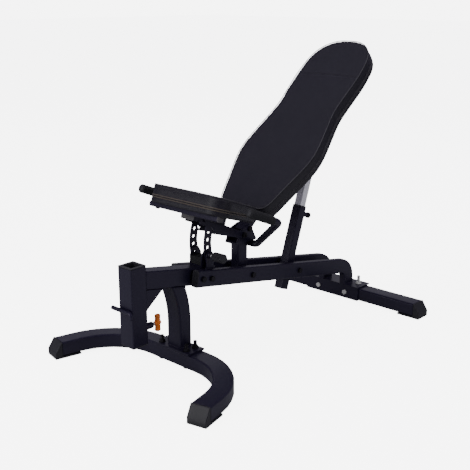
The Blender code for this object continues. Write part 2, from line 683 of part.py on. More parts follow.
def hinge_bracket():
    """A U-shaped bracket on the seat post, whose cheeks carry the seat's and the back's pivots."""
    base = SEAT_POST_TOP + GAP
    top = base + BRACKET_PLATE
    seat_x, seat_z = SEAT_PIVOT
    back_x, back_z = back_pivot()
    eye = 0.014
    outline = [(BRACKET_FRONT, base), (BRACKET_REAR, base), (BRACKET_REAR, top)]
    outline += arc((back_x, back_z), eye, -10, 100, 5)
    outline += arc((seat_x, seat_z), eye, 110, 190, 4)
    outline += [(BRACKET_FRONT, top)]
    bracket = plate("hinge_bracket", outline, -CHEEK_OUTER, CHEEK_OUTER, "black_powder_coat")
    gap = box("hinge_bracket_space", (BRACKET_FRONT - 0.02, -CHEEK_INNER, top),
              (BRACKET_REAR + 0.02, CHEEK_INNER, back_z + 0.05), "zinc_plate")
    boolean(bracket, gap, "DIFFERENCE")
    for (x, z), tag in ((SEAT_PIVOT, "seat"), ((back_x, back_z), "back")):
        drill(bracket, (x, 0, z), (0, 1, 0), BOLT_RADIUS + HOLE_CLEARANCE, 4 * CHEEK_OUTER, tag)
    bolt("seat_pivot_bolt", (seat_x, 0, seat_z), (0, 1, 0), 2 * SIDE_PLATE_OUTER + 0.001)
    bolt("back_pivot_bolt", (back_x, 0, back_z), (0, 1, 0), 2 * CHEEK_OUTER)


def ladder_angle(hole):
    return LADDER_PIN_ANGLE + LADDER_PITCH * hole


def ladder_point(angle, radius=LADDER_RADIUS):
    a = math.radians(angle)
    return (SEAT_PIVOT[0] - radius * math.cos(a), SEAT_PIVOT[1] + radius * math.sin(a))


def lock_pin():
    """The bracket on the beam, the rubber stop in it and the pin that locks the seat."""
    x, z = ladder_point(ladder_angle(0))
    half = BEAM_WIDTH / 2 - 0.0006
    wall = 0.003
    length = 0.046
    front, rear = x - length / 2, x + length / 2
    outline = [(front, beam_top(front) + GAP), (rear, beam_top(rear) + GAP), (rear, z - 0.004),
               (x + 0.012, z + 0.014), (x - 0.012, z + 0.014), (front, z - 0.004)]
    bracket = plate("lock_bracket", outline, -half, half, "black_powder_coat")
    floor_z = beam_top(front) + GAP + wall
    space = box("lock_bracket_space", (front - 0.01, -half + wall, floor_z),
                (rear + 0.01, half - wall, z + 0.05), "zinc_plate")
    boolean(bracket, space, "DIFFERENCE")
    drill(bracket, (x, 0, z), (0, 1, 0), LOCK_PIN_RADIUS + HOLE_CLEARANCE, 4 * half, "pin")
    top = z - LOCK_PIN_RADIUS - 0.003
    side = half - wall - 0.001
    ribs = 5
    outline = []
    low = floor_z + GAP
    step = (top - low) / (2 * ribs)
    for k in range(2 * ribs + 1):
        outline.append((front + (0.001 if k % 2 else 0.0025), low + step * k))
    outline += [(rear - 0.008, top), (rear - 0.008, low)]
    plate("seat_stop_block", outline, -side, side, "black_rubber")
    lock_barrel(x, z)
    tip = SIDE_PLATE_OUTER + 0.0009
    grip = LOCK_BARREL_END + GAP + LOCK_TRAVEL
    end = grip + LOCK_KNOB_LENGTH - 0.010
    neck = LOCK_PIN_RADIUS - 0.001
    turned_part("seat_lock_pin", (x, 0, z), (0, -1, 0),
                [(tip, neck), (tip + 0.001, LOCK_PIN_RADIUS), (grip, LOCK_PIN_RADIUS),
                 (grip, neck), (end, neck)], "zinc_plate")
    r = LOCK_KNOB_RADIUS
    far = LOCK_KNOB_LENGTH
    bore = neck + HOLE_CLEARANCE
    profile = [(far - 0.009, bore), (0, bore), (0, r - 0.003), (0.004, r), (far - 0.006, r + 0.001),
               (far - 0.001, r - 0.001), (far, r - 0.004)]
    turned_part("seat_lock_knob", (x, -grip - GAP, z), (0, -1, 0), profile, "black_plastic",
                sides=20)


def lock_barrel(x, z):
    """A lug on top of the right rail, with the barrel that guides the lock pin."""
    near = SIDE_PLATE_OUTER + LOCK_LUG_SPACE
    half = 0.015
    outline = [(x - half, rail_top(x - half) + GAP), (x + half, rail_top(x + half) + GAP),
               (x + half, z)] + arc((x, z), 0.013, 20, 160, 6) + [(x - half, z)]
    barrel = plate("seat_lock_barrel", outline, -near - LOCK_LUG, -near, "black_powder_coat")
    sleeve = turned_part("seat_lock_barrel_sleeve", (x, 0, z), (0, -1, 0),
                         [(near + 0.001, 0.0105), (LOCK_BARREL_END - 0.001, 0.0105),
                          (LOCK_BARREL_END, 0.0095)], "black_powder_coat", sides=20)
    boolean(barrel, sleeve, "UNION")
    drill(barrel, (x, -near, z), (0, 1, 0), LOCK_PIN_RADIUS + HOLE_CLEARANCE, 0.05, "pin")


def trunnions(pair):
    """Stub bolts from the rails into the support tube's sides, so its bore stays open."""
    x, z = SUPPORT_PIVOT
    end = OUTER_SIDE / 2 - OUTER_WALL + GAP
    shoulder = OUTER_SIDE / 2 + GAP
    flats = BOLT_FLATS / 2
    for side, rail in zip((1, -1), pair):
        drill(rail, (x, side * RAIL_INNER, z), (0, 1, 0), BOLT_RADIUS + HOLE_CLEARANCE,
              4 * RAIL_WIDTH, "trunnion")
        profile = [(end, BOLT_RADIUS), (shoulder, BOLT_RADIUS), (shoulder, 0.009),
                   (RAIL_INNER - GAP, 0.009), (RAIL_INNER - GAP, BOLT_RADIUS),
                   (RAIL_OUTER + GAP, BOLT_RADIUS), (RAIL_OUTER + GAP, flats, "hex"),
                   (RAIL_OUTER + GAP + BOLT_HEAD, flats, "hex")]
        name = "left" if side > 0 else "right"
        turned_part(f"support_trunnion_{name}", (x, 0, z), (0, side, 0), profile, "black_steel",
                    sides=12)


def rounded_path(points, radii, steps=7):
    """A path through points whose inner corners are arcs of the given radii."""
    path = [points[0]]
    for before, corner, after, radius in zip(points, points[1:], points[2:], radii):
        a, b = (before - corner).normalized(), (after - corner).normalized()
        half = a.angle(b) / 2
        centre = corner + (a + b).normalized() * (radius / math.sin(half))
        first = corner + a * (radius / math.tan(half)) - centre
        last = corner + b * (radius / math.tan(half)) - centre
        turn = math.pi - 2 * half
        for k in range(steps + 1):
            t = k / steps
            path.append(centre + (first * math.sin((1 - t) * turn) + last * math.sin(t * turn))
                        / math.sin(turn))
    return path + [points[-1]]


def handles():
    """One bent tube passes under the hinge bracket, rises past both sides of the seat and runs
    forward to a grip on each end."""
    x0, z0 = HANDLE_CENTRE
    half = [Vector((x0, HANDLE_MIDDLE, z0)),
            Vector((HANDLE_CORNER[0], HANDLE_Y, HANDLE_CORNER[1])),
            Vector((HANDLE_FRONT[0], HANDLE_Y, HANDLE_FRONT[1]))]
    flip = Matrix.Diagonal((1, -1, 1))
    points = [flip @ p for p in reversed(half)] + half
    radii = (HANDLE_BEND, HANDLE_CENTRE_BEND, HANDLE_CENTRE_BEND, HANDLE_BEND)
    path = rounded_path(points, radii)
    add("handle_bar", loft(tube_rings(path, HANDLE_RADIUS, 16)), "black_powder_coat")
    corner, front = half[1], half[2]
    grip_end = front + (corner - front).normalized() * GRIP_LENGTH
    cap = front - (corner - front).normalized() * 0.004
    for side, name in ((1, "left"), (-1, "right")):
        place = Matrix.Diagonal((1, side, 1))
        a, b = place @ cap, place @ grip_end
        span = (b - a).length
        bore = HANDLE_RADIUS + GAP
        rings = turned(a, b - a, [(0, GRIP_RADIUS - 0.003), (0.003, GRIP_RADIUS),
                                  (span - 0.002, GRIP_RADIUS), (span, GRIP_RADIUS - 0.0015),
                                  (span, bore), (0.0035, bore)], 20)
        add(f"handle_grip_{name}", loft(rings), "foam_grip")


def tube_rings(path, radius, sides):
    """Round rings along a path in space, carried from one to the next without twisting."""
    ts = tangents(path)
    u = Vector((0, 0, 1)).cross(ts[0]).normalized()
    rings = []
    for p, t in zip(path, ts):
        u = (u - t * u.dot(t)).normalized()
        v = t.cross(u)
        rings.append([p + (u * a + v * b) for a, b in circle_section(radius, sides)])
    return rings


# Seat

def seat_point(along, away):
    """A point in the XZ plane from the seat pad's top front edge: rearwards, and out of the pad."""
    a = math.radians(SEAT_TILT)
    return (SEAT_FRONT_X + along * math.cos(a) + away * math.sin(a),
            SEAT_TOP_FRONT - along * math.sin(a) + away * math.cos(a))


def seat_outline(inset):
    """Half widths along the seat: round front corners, then a taper to the rear."""
    front, rear = SEAT_HALF_WIDTH - inset, SEAT_REAR_HALF_WIDTH - inset
    r_front, r_rear = 0.045, 0.030
    length = SEAT_LENGTH - inset
    pts = [(inset + r_front - r_front * math.cos(a), front - r_front + r_front * math.sin(a))
           for a in (math.radians(15 * k) for k in range(7))]
    pts += [(length - r_rear + r_rear * math.sin(a), rear - r_rear + r_rear * math.cos(a))
            for a in (math.radians(22.5 * k) for k in range(5))]
    return pts


def pad_solid(name, outline, place, levels, finish):
    """A pad from its plan outline. levels holds (distance out of the face, share of the inset)."""
    rings = []
    for away, inset in levels:
        half = outline(inset)
        ring = [(a, w) for a, w in half] + [(a, -w) for a, w in reversed(half)]
        points = []
        for a, w in ring:
            x, z = place(a, away)
            points.append(Vector((x, w, z)))
        rings.append(points)
    return add(name, loft(rings), finish)


def seat():
    pad_solid("seat_pad", seat_outline, seat_point,
              [(0, 0.010), (-0.003, 0.004), (-0.010, 0.0), (-SEAT_PAD, 0.0)], "black_vinyl")
    board_top = -SEAT_PAD - GAP
    pad_solid("seat_board", seat_outline, seat_point,
              [(board_top, 0.004), (board_top - BOARD, 0.004)], "plywood")
    tube_top = board_top - BOARD - GAP
    start = SEAT_TUBE_FROM_FRONT + CROSS_BAR_DEPTH + GAP
    middle = tube_top - SEAT_TUBE_HEIGHT / 2
    path = xz([seat_point(start, middle), seat_point(SEAT_TUBE_FROM_FRONT + SEAT_TUBE_LENGTH, middle)])
    square_tube("seat_frame_tube", path, Vector((0, 1, 0)), SEAT_TUBE_WIDTH, SEAT_TUBE_HEIGHT,
                SEAT_TUBE_WALL, "black_powder_coat", radius=0.003)
    bar_middle = tube_top - CROSS_BAR_HEIGHT / 2
    x, z = seat_point(SEAT_TUBE_FROM_FRONT + CROSS_BAR_DEPTH / 2, bar_middle)
    ends = CROSS_BAR_HALF_LENGTH
    tilt = math.radians(SEAT_TILT)
    square_tube("seat_cross_bar", [Vector((x, y, z)) for y in (-ends, ends)],
                Vector((math.cos(tilt), 0, -math.sin(tilt))), CROSS_BAR_DEPTH, CROSS_BAR_HEIGHT,
                SEAT_TUBE_WALL, "black_powder_coat", radius=0.003)
    side_plates(tube_top)


def side_plates(tube_top):
    """Laser-cut plates on the frame tube's sides: a brace to the pivot, and a ladder of holes
    on an arc about the pivot."""
    inner, outer = LADDER_RADIUS - LADDER_HALF_WIDTH, LADDER_RADIUS + LADDER_HALF_WIDTH
    low = ladder_angle(0) - 6.5
    high = ladder_angle(LADDER_HOLES - 1) + 7.5
    eye = 0.0125
    sx, sz = SEAT_PIVOT
    out = [ladder_point(low + (high - low) * k / 6, outer) for k in range(7)]
    x_front, z_front = seat_point(0.050, tube_top - 0.003)
    x_rear, z_rear = seat_point(0.092, tube_top - 0.003)
    back = [ladder_point(a, inner) for a in (high - 9.5, high - 14, high - 20, low + 4, low)]
    brace_top = ladder_point(high - 7.0, inner)
    lean = math.degrees(math.atan2(brace_top[1] - sz, brace_top[0] - sx))
    outline = out + [(x_front, z_front), (x_rear, z_rear), brace_top]
    outline += arc((sx, sz), eye, lean - 75, lean - 290, 8)
    outline += back
    for side, name in ((1, "left"), (-1, "right")):
        y0, y1 = sorted((side * SIDE_PLATE_INNER, side * SIDE_PLATE_OUTER))
        p = plate(f"seat_side_plate_{name}", outline, y0, y1, "black_powder_coat")
        drill(p, (sx, 0, sz), (0, 1, 0), BOLT_RADIUS + HOLE_CLEARANCE, 0.2, "pivot")
        for hole in range(LADDER_HOLES):
            x, z = ladder_point(ladder_angle(hole))
            drill(p, (x, 0, z), (0, 1, 0), LOCK_PIN_RADIUS + HOLE_CLEARANCE, 0.2, f"hole_{hole}")


# Back

BACK_HALF_WIDTHS = ((0.0, 0.093), (0.10, 0.120), (0.20, 0.146), (0.255, 0.146), (0.33, 0.133),
                    (0.41, 0.119), (0.48, 0.121), (0.56, 0.1255), (0.60, 0.123))
BACK_TOP_START = 0.60


def smooth_width(s):
    """The pad's half width at s, by a smooth curve through the listed widths."""
    table = BACK_HALF_WIDTHS
    for i in range(len(table) - 1):
        (s0, w0), (s1, w1) = table[i], table[i + 1]
        if s <= s1:
            m0 = (w1 - table[i - 1][1]) / (s1 - table[i - 1][0]) if i else (w1 - w0) / (s1 - s0)
            nxt = table[i + 2] if i + 2 < len(table) else None
            m1 = (nxt[1] - w0) / (nxt[0] - s0) if nxt else -0.10
            h = s1 - s0
            t = (s - s0) / h
            return ((2 * t ** 3 - 3 * t ** 2 + 1) * w0 + (t ** 3 - 2 * t ** 2 + t) * h * m0
                    + (3 * t ** 2 - 2 * t ** 3) * w1 + (t ** 3 - t ** 2) * h * m1)
    return table[-1][1]


def back_outline(inset):
    """Half widths along the back: a narrow lower end, a bulge, a waist and a round head."""
    scale = BACK_LENGTH / 0.727
    r = 0.028
    pts = [(inset + r - r * math.cos(a), smooth_width(r) - inset - r + r * math.sin(a))
           for a in (math.radians(30 * k) for k in range(4))]
    steps = 22
    first = 0.045
    for k in range(steps + 1):
        s = first + (BACK_TOP_START - first) * k / steps
        pts.append((s * scale, smooth_width(s) - inset))
    top = BACK_LENGTH - inset - BACK_TOP_START * scale
    wide = smooth_width(BACK_TOP_START) - inset
    for k in range(1, 9):
        a = math.radians(90 * k / 9)
        pts.append((BACK_TOP_START * scale + top * math.sin(a) ** 0.92, wide * math.cos(a) ** 0.80))
    return pts


def back():
    pad_solid("back_pad", back_outline, back_frame_point,
              [(0, 0.012), (-0.004, 0.004), (-0.012, 0.0), (-BACK_PAD, 0.0)], "black_vinyl")
    board_top = -BACK_PAD - GAP
    pad_solid("back_board", back_outline, back_frame_point,
              [(board_top, 0.005), (board_top - BOARD, 0.005)], "plywood")
    spine_top = board_top - BOARD - GAP
    middle = spine_top - SPINE_HEIGHT / 2
    start = -PIVOT_BELOW_PAD - 0.016
    path = xz([back_frame_point(start, middle), back_frame_point(start + SPINE_LENGTH, middle)])
    spine = square_tube("back_spine", path, Vector((0, 1, 0)), SPINE_WIDTH, SPINE_HEIGHT,
                        SPINE_WALL, "black_powder_coat", radius=0.003)
    x, z = back_pivot()
    drill(spine, (x, 0, z), (0, 1, 0), BOLT_RADIUS + HOLE_CLEARANCE, 0.2, "pivot")
    support_bracket(spine_top - SPINE_HEIGHT)


def support_top():
    a = math.radians(SUPPORT_ANGLE)
    return (SUPPORT_PIVOT[0] + SUPPORT_TO_TOP * math.cos(a),
            SUPPORT_PIVOT[1] + SUPPORT_TO_TOP * math.sin(a))


def in_back_frame(x, z):
    """The inverse of back_frame_point."""
    a = math.radians(BACK_ANGLE)
    dx, dz = x - BACK_FRONT_POINT[0], z - BACK_FRONT_POINT[1]
    return dx * math.cos(a) + dz * math.sin(a), -dx * math.sin(a) + dz * math.cos(a)


def support_bracket(spine_bottom):
    """A U-shaped bracket under the spine. Its cheeks carry the support's top bolt in a wide slot,
    which gives the bolt room over the whole recline."""
    along, away = in_back_frame(*support_top())
    r = BOLT_RADIUS + 0.0025
    top = spine_bottom - GAP
    outline = [(along - 0.055, top), (along + 0.048, top), (along + 0.036, away + 0.008),
               (along + 0.016, away - 0.013), (along - 0.016, away - 0.013),
               (along - 0.036, away + 0.008)]
    slot = [(along - r, away - r), (along + r, away - r), (along + r, away + 0.010),
            (along + 0.0145, away + 0.026), (along + 0.0145, away + 0.0390),
            (along - 0.0215, away + 0.0390), (along - 0.0215, away + 0.026),
            (along - r - 0.002, away + 0.008)]
    half = SPINE_WIDTH / 2 + SLOTTED_PLATE
    bracket = plate("support_bracket", [back_frame_point(*q) for q in outline], -half, half,
                    "black_powder_coat")
    base = top - SLOTTED_PLATE
    space = [(along - 0.08, base), (along + 0.08, base), (along + 0.08, away - 0.03),
             (along - 0.08, away - 0.03)]
    inner = SPINE_WIDTH / 2
    for tag, shape, reach in (("space", space, inner), ("slot", slot, half + 0.01)):
        tool = plate(f"support_bracket_{tag}", [back_frame_point(*q) for q in shape], -reach,
                     reach, "zinc_plate")
        boolean(bracket, tool, "DIFFERENCE")


# Support

def support():
    a = math.radians(SUPPORT_ANGLE)
    up = Vector((math.cos(a), 0, math.sin(a)))
    foot = Vector((SUPPORT_PIVOT[0], 0, SUPPORT_PIVOT[1]))
    outer = square_tube("support_outer_tube", [foot - up * OUTER_BELOW, foot + up * OUTER_ABOVE],
                        Vector((0, 1, 0)), OUTER_SIDE, OUTER_SIDE, OUTER_WALL,
                        "black_powder_coat", radius=0.003)
    drill(outer, foot, (0, 1, 0), BOLT_RADIUS + HOLE_CLEARANCE, 0.1, "trunnion")
    inner_side = OUTER_SIDE - 2 * OUTER_WALL - 2 * SLIDE_CLEARANCE
    top = foot + up * SUPPORT_TO_TOP
    inner = square_tube("support_inner_tube", [top - up * INNER_LENGTH, top + up * INNER_EYE],
                        Vector((0, 1, 0)), inner_side, inner_side, INNER_WALL, "silver_paint",
                        radius=0.002)
    drill(inner, top, (0, 1, 0), BOLT_RADIUS + HOLE_CLEARANCE, 0.1, "top")
    across = Vector((math.sin(a), 0, -math.cos(a)))
    place = foot + up * (OUTER_ABOVE - 0.022)
    pin_radius = RECEIVER_PIN_RADIUS
    for o, tag in ((outer, "outer"), (inner, "inner")):
        drill(o, place + across * (OUTER_SIDE / 2), across, pin_radius + HOLE_CLEARANCE,
              OUTER_SIDE, tag)
    for k in (-4, -3, -2, -1, 1, 2, 3, 4):
        drill(inner, place + up * (PIN_HOLE_PITCH * k) + across * (OUTER_SIDE / 2), across,
              pin_radius + HOLE_CLEARANCE, OUTER_SIDE, f"hole_{k}")
    bolt("support_top_bolt", top, (0, 1, 0), SPINE_WIDTH + 2 * SLOTTED_PLATE)
    face = place + across * (OUTER_SIDE / 2 + GAP)
    small = 0.70
    neck = pin_radius - 0.0015
    length = BARREL_LENGTH * small
    outer_rings = turned(face, across, [(0, 0.0095), (0.004, 0.0095), (0.004, 0.0085),
                                        (length, 0.0085)])
    inner_rings = turned(face, across, [(0, pin_radius + HOLE_CLEARANCE),
                                        (length - 0.004, pin_radius + HOLE_CLEARANCE),
                                        (length - 0.004, neck + HOLE_CLEARANCE),
                                        (length, neck + HOLE_CLEARANCE)])
    add("support_pin_barrel", hollow_loft(outer_rings, inner_rings), "black_powder_coat")
    into = OUTER_WALL - 0.0006
    knob = length + GAP + SUPPORT_PIN_TRAVEL
    turned_part("support_pin", face, across,
                [(-into, pin_radius - 0.001), (-into + 0.001, pin_radius),
                 (length - 0.005, pin_radius), (length - 0.005, neck), (knob, neck),
                 (knob, 0.0085), (knob + 0.003, 0.0100), (knob + 0.010, 0.0100),
                 (knob + 0.012, 0.0080)], "black_plastic", sides=20)
    return foot, top, face


def put_origin(point, *names):
    """Moves the origin of each named piece to a point of its joint's axis. The piece stays put."""
    for name in names:
        o = bpy.data.objects[name]
        shift = Vector(point) - o.location
        o.data.transform(Matrix.Translation(-shift))
        o.location += shift


def middle_of(name):
    corners = [Vector(c) for c in bpy.data.objects[name].bound_box]
    return sum(corners, Vector()) / 8


def origins_on_axes(support_foot, support_end, pin_face):
    back_x, back_z = back_pivot()
    put_origin((SEAT_PIVOT[0], 0, SEAT_PIVOT[1]), "seat_pad", "seat_board", "seat_frame_tube",
               "seat_cross_bar", "seat_side_plate_left", "seat_side_plate_right")
    put_origin((back_x, 0, back_z), "back_pad", "back_board", "back_spine", "support_bracket")
    put_origin(support_foot, "support_outer_tube", "support_pin_barrel")
    put_origin(support_end, "support_inner_tube", "support_top_bolt")
    put_origin(pin_face, "support_pin")
    for name in ("seat_lock_pin", "seat_lock_knob", "receiver_pin_plunger"):
        put_origin(middle_of(name), name)
    put_origin(middle_of("receiver_pin_plunger") + bpy.data.objects["receiver_pin_plunger"].location,
               "receiver_pin_handle")


def centre_on_footprint():
    """Moves every object so that the origin is at floor level in the middle of the bench."""
    bpy.context.view_layer.update()
    shown = [o for o in bpy.data.objects if not o.hide_render]
    xs = [(o.matrix_world @ v.co).x for o in shown for v in o.data.vertices]
    middle = (min(xs) + max(xs)) / 2
    for o in bpy.data.objects:
        o.location.x -= middle
    return middle


def main():
    clear_scene()
    front_foot()
    foot = rear_foot()
    rear_saddle(foot)
    leg_and_flange()
    receiver()
    beam = beam_and_gusset()
    pair = rails()
    rail_bolts(beam, pair)
    seat_post(pair)
    hinge_bracket()
    lock_pin()
    trunnions(pair)
    handles()
    seat()
    back()
    origins_on_axes(*support())
    print("origin moved by", -centre_on_footprint())


main()
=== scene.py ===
"""Looks of the adjustable weight bench: pads, grips, welds, plugs, threads, finishes, light and camera."""
import json
import math

import bmesh
import bpy
import numpy as np
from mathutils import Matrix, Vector


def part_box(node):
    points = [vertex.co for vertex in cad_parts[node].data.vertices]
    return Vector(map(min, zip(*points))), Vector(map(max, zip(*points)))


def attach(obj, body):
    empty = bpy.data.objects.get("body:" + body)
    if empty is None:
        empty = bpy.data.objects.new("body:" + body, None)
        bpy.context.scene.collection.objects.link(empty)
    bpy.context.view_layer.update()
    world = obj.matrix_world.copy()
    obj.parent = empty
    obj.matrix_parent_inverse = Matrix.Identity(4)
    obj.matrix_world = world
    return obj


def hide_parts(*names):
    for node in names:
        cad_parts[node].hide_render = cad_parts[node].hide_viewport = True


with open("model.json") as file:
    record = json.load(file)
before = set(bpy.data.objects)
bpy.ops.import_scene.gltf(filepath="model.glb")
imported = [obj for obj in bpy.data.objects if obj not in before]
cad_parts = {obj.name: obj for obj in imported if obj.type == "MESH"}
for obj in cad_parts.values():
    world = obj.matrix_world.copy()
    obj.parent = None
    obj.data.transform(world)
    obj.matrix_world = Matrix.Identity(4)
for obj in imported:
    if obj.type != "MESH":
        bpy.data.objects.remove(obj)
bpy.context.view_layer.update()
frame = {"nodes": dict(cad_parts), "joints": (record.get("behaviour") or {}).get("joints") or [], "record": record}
NODES = frame["nodes"]
BODY_OF = {n: body for body, names in frame["record"]["behaviour"]["bodies"].items() for n in names}

TAU = 2 * math.pi
UP = np.array((0.0, 0.0, 1.0))
MERGE = 1e-6          # points closer than this are one point
SURROUND = 0.18       # strength of the surround that lights the bench
FLOOR_GLOW = 6.0      # brightness of the floor as the camera sees it
SKY_GLOW = 6.5        # and of the surround
SWELL_FRAMES = 20     # length of the cloth runs that plump the pads


def tilted(degrees):
    """Unit vectors along a line that rises by an angle towards the rear, and square to it, up."""
    angle = math.radians(degrees)
    return (np.array((math.cos(angle), 0.0, math.sin(angle))),
            np.array((-math.sin(angle), 0.0, math.cos(angle))))


SEAT_ALONG, SEAT_OUT = tilted(-18.46)
BACK_ALONG, BACK_OUT = tilted(40.84)
BEAM_ALONG, BEAM_OUT = tilted(-10.77)


# Meshes

def unit(v):
    v = np.asarray(v, float)
    return v / np.linalg.norm(v)


def linked(name, data):
    """A new object of the scene at the origin."""
    thing = bpy.data.objects.new(name, data)
    bpy.context.scene.collection.objects.link(thing)
    return thing


def shown(name, points, faces, finish, body, smooth_angle=40):
    """Makes a piece at the origin from its points and faces, and lets it ride on its body."""
    mesh = bpy.data.meshes.new(name)
    mesh.from_pydata(np.asarray(points, float).tolist(), [], faces)
    work = bmesh.new()
    work.from_mesh(mesh)
    bmesh.ops.remove_doubles(work, verts=work.verts, dist=MERGE)
    bmesh.ops.recalc_face_normals(work, faces=work.faces)
    work.to_mesh(mesh)
    work.free()
    mesh.shade_smooth()
    mesh.set_sharp_from_angle(angle=math.radians(smooth_angle))
    mesh.materials.append(finish)
    piece = linked(name, mesh)
    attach(piece, body)
    return piece


def grid_faces(rows, columns, first=0, ring=True, loop=False):
    """Quads of a grid of points. ring joins the last column to the first, loop the last row."""
    r = np.arange(rows if loop else rows - 1)
    c = np.arange(columns if ring else columns - 1)
    a, b = np.meshgrid(r, c, indexing="ij")
    down, right = (a + 1) % rows, (b + 1) % columns
    quads = np.stack((a * columns + b, a * columns + right, down * columns + right,
                      down * columns + b), axis=-1)
    return (quads.reshape(-1, 4) + first).tolist()


def capped_rings(rings):
    """Points and faces of rings of points, skinned one to the next and closed at both ends."""
    rows, columns = rings.shape[:2]
    faces = grid_faces(rows, columns)
    faces.append(list(range(columns))[::-1])
    faces.append(list(range((rows - 1) * columns, rows * columns)))
    return rings.reshape(-1, 3), faces


def across(axis):
    """Two unit vectors at right angles to axis and to each other."""
    axis = unit(axis)
    helper = UP if abs(axis[2]) < 0.9 else np.array((1.0, 0.0, 0.0))
    u = unit(np.cross(helper, axis))
    return u, np.cross(axis, u)


def turned(base, axis, along, radius):
    """Rings of a turned shape: at distance s along the axis the ring's radius is radius(s, angle).
    along and radius are arrays, radius as wide as the ring has points."""
    u, v = across(axis)
    columns = radius.shape[1]
    angle = TAU * np.arange(columns) / columns
    spoke = np.cos(angle)[:, None] * u + np.sin(angle)[:, None] * v
    return (np.asarray(base) + along[:, None, None] * unit(axis)
            + radius[:, :, None] * spoke[None])


def resampled(loop, step):
    """A closed loop of points set out again at even steps of length."""
    closed = np.vstack((loop, loop[:1]))
    run = np.concatenate(([0], np.cumsum(np.linalg.norm(np.diff(closed, axis=0), axis=1))))
    count = max(int(run[-1] / step), 8)
    at = run[-1] * np.arange(count) / count
    return np.stack([np.interp(at, run, closed[:, k]) for k in range(3)], axis=1)


def softened(loop, passes):
    """A closed loop with each point moved to the mean of itself and its neighbours, some times."""
    for _ in range(passes):
        loop = 0.5 * loop + 0.25 * (np.roll(loop, 1, axis=0) + np.roll(loop, -1, axis=0))
    return loop


def carried(loop, normal, section):
    """A closed section carried round a flat closed loop. section holds (outwards, along normal)
    for each point of the loop, so its size may vary on the way."""
    ahead = np.roll(loop, -1, axis=0) - np.roll(loop, 1, axis=0)
    ahead /= np.linalg.norm(ahead, axis=1)[:, None]
    out = np.cross(ahead, normal)
    middle = loop.mean(axis=0)
    if np.einsum("ij,ij->i", out, loop - middle).sum() < 0:
        out = -out
    return loop[:, None] + section[..., 0, None] * out[:, None] + section[..., 1, None] * normal


def coordinates(mesh):
    """The points of a mesh as rows."""
    flat = np.empty(3 * len(mesh.vertices))
    mesh.vertices.foreach_get("co", flat)
    return flat.reshape(-1, 3)


def points_of(node):
    return coordinates(NODES[node].data)


def farthest(points, direction):
    """The least and the most that points reach along a direction."""
    levels = points @ direction
    return levels.min(), levels.max()


def end_loop(node, direction, depth=0.0004):
    """The outer outline of a node's flat end in some direction, and the end's middle. Of the points
    there it keeps the farthest from the middle at each angle, and drops those on inner outlines."""
    direction = unit(direction)
    points = points_of(node)
    height = points @ direction
    flat = points[height > height.max() - depth]
    u, v = across(direction)
    middle = (flat.min(axis=0) + flat.max(axis=0)) / 2
    x, y = (flat - middle) @ u, (flat - middle) @ v
    angle = np.round(np.arctan2(y, x), 3)
    far = np.hypot(x, y)
    order = np.lexsort((-far, angle))
    keep = order[np.concatenate(([True], np.diff(angle[order]) > 1e-3))]
    outer_share = 0.86
    chosen = [i for i in keep if far[i] > outer_share * edge_reach(x, y, angle[i])]
    return flat[chosen], middle


def edge_reach(x, y, angle):
    """How far the points at x, y reach along a direction at that angle."""
    return (x * math.cos(angle) + y * math.sin(angle)).max()


# Finishes

def node_group(name, inputs, outputs):
    """An empty group with float sockets: its tree, its input node and its output node."""
    tree = bpy.data.node_groups.new(name, "ShaderNodeTree")
    for label, default in inputs:
        socket = tree.interface.new_socket(name=label, in_out="INPUT", socket_type="NodeSocketFloat")
        socket.default_value = default
    for label in outputs:
        tree.interface.new_socket(name=label, in_out="OUTPUT", socket_type="NodeSocketFloat")
    return tree, tree.nodes.new("NodeGroupInput"), tree.nodes.new("NodeGroupOutput")


def mapped(tree, value, low, high, to_low, to_high):
    """A Map Range node on a value."""
    node = tree.nodes.new("ShaderNodeMapRange")
    node.inputs["From Min"].default_value = low
    node.inputs["From Max"].default_value = high
    node.inputs["To Min"].default_value = to_low
    node.inputs["To Max"].default_value = to_high
    tree.links.new(value, node.inputs["Value"])
    return node.outputs["Result"]


def math_node(tree, operation, a, b=0.0):
    """A Math node whose inputs are numbers or sockets."""
    node = tree.nodes.new("ShaderNodeMath")
    node.operation = operation
    for socket, value in zip(node.inputs, (a, b)):
        if isinstance(value, (int, float)):
            socket.default_value = value
        else:
            tree.links.new(value, socket)
    return node.outputs[0]


def noise(tree, vector, scale, detail, roughness=0.5):
    """A Noise Texture node. scale is a number or a socket."""
    node = tree.nodes.new("ShaderNodeTexNoise")
    node.inputs["Detail"].default_value = detail
    node.inputs["Roughness"].default_value = roughness
    tree.links.new(vector, node.inputs["Vector"])
    if isinstance(scale, (int, float)):
        node.inputs["Scale"].default_value = scale
    else:
        tree.links.new(scale, node.inputs["Scale"])
    return node.outputs["Fac"]


def object_coordinates(tree):
    return tree.nodes.new("ShaderNodeTexCoord").outputs["Object"]


def orange_peel_group():
    """Powder coat: fine round bumps over slow waves, and a slow cloud for tone."""
    tree, given, out = node_group("orange_peel", (("Scale", 700.0), ("Waves", 60.0)),
                                  ("Height", "Cloud"))
    place = object_coordinates(tree)
    fine = noise(tree, place, given.outputs["Scale"], 2.0)
    slow = noise(tree, place, given.outputs["Waves"], 2.0)
    both = math_node(tree, "ADD", math_node(tree, "MULTIPLY", fine, 0.6),
                     math_node(tree, "MULTIPLY", slow, 0.4))
    tree.links.new(both, out.inputs["Height"])
    tree.links.new(noise(tree, place, 9.0, 4.0), out.inputs["Cloud"])
    return tree


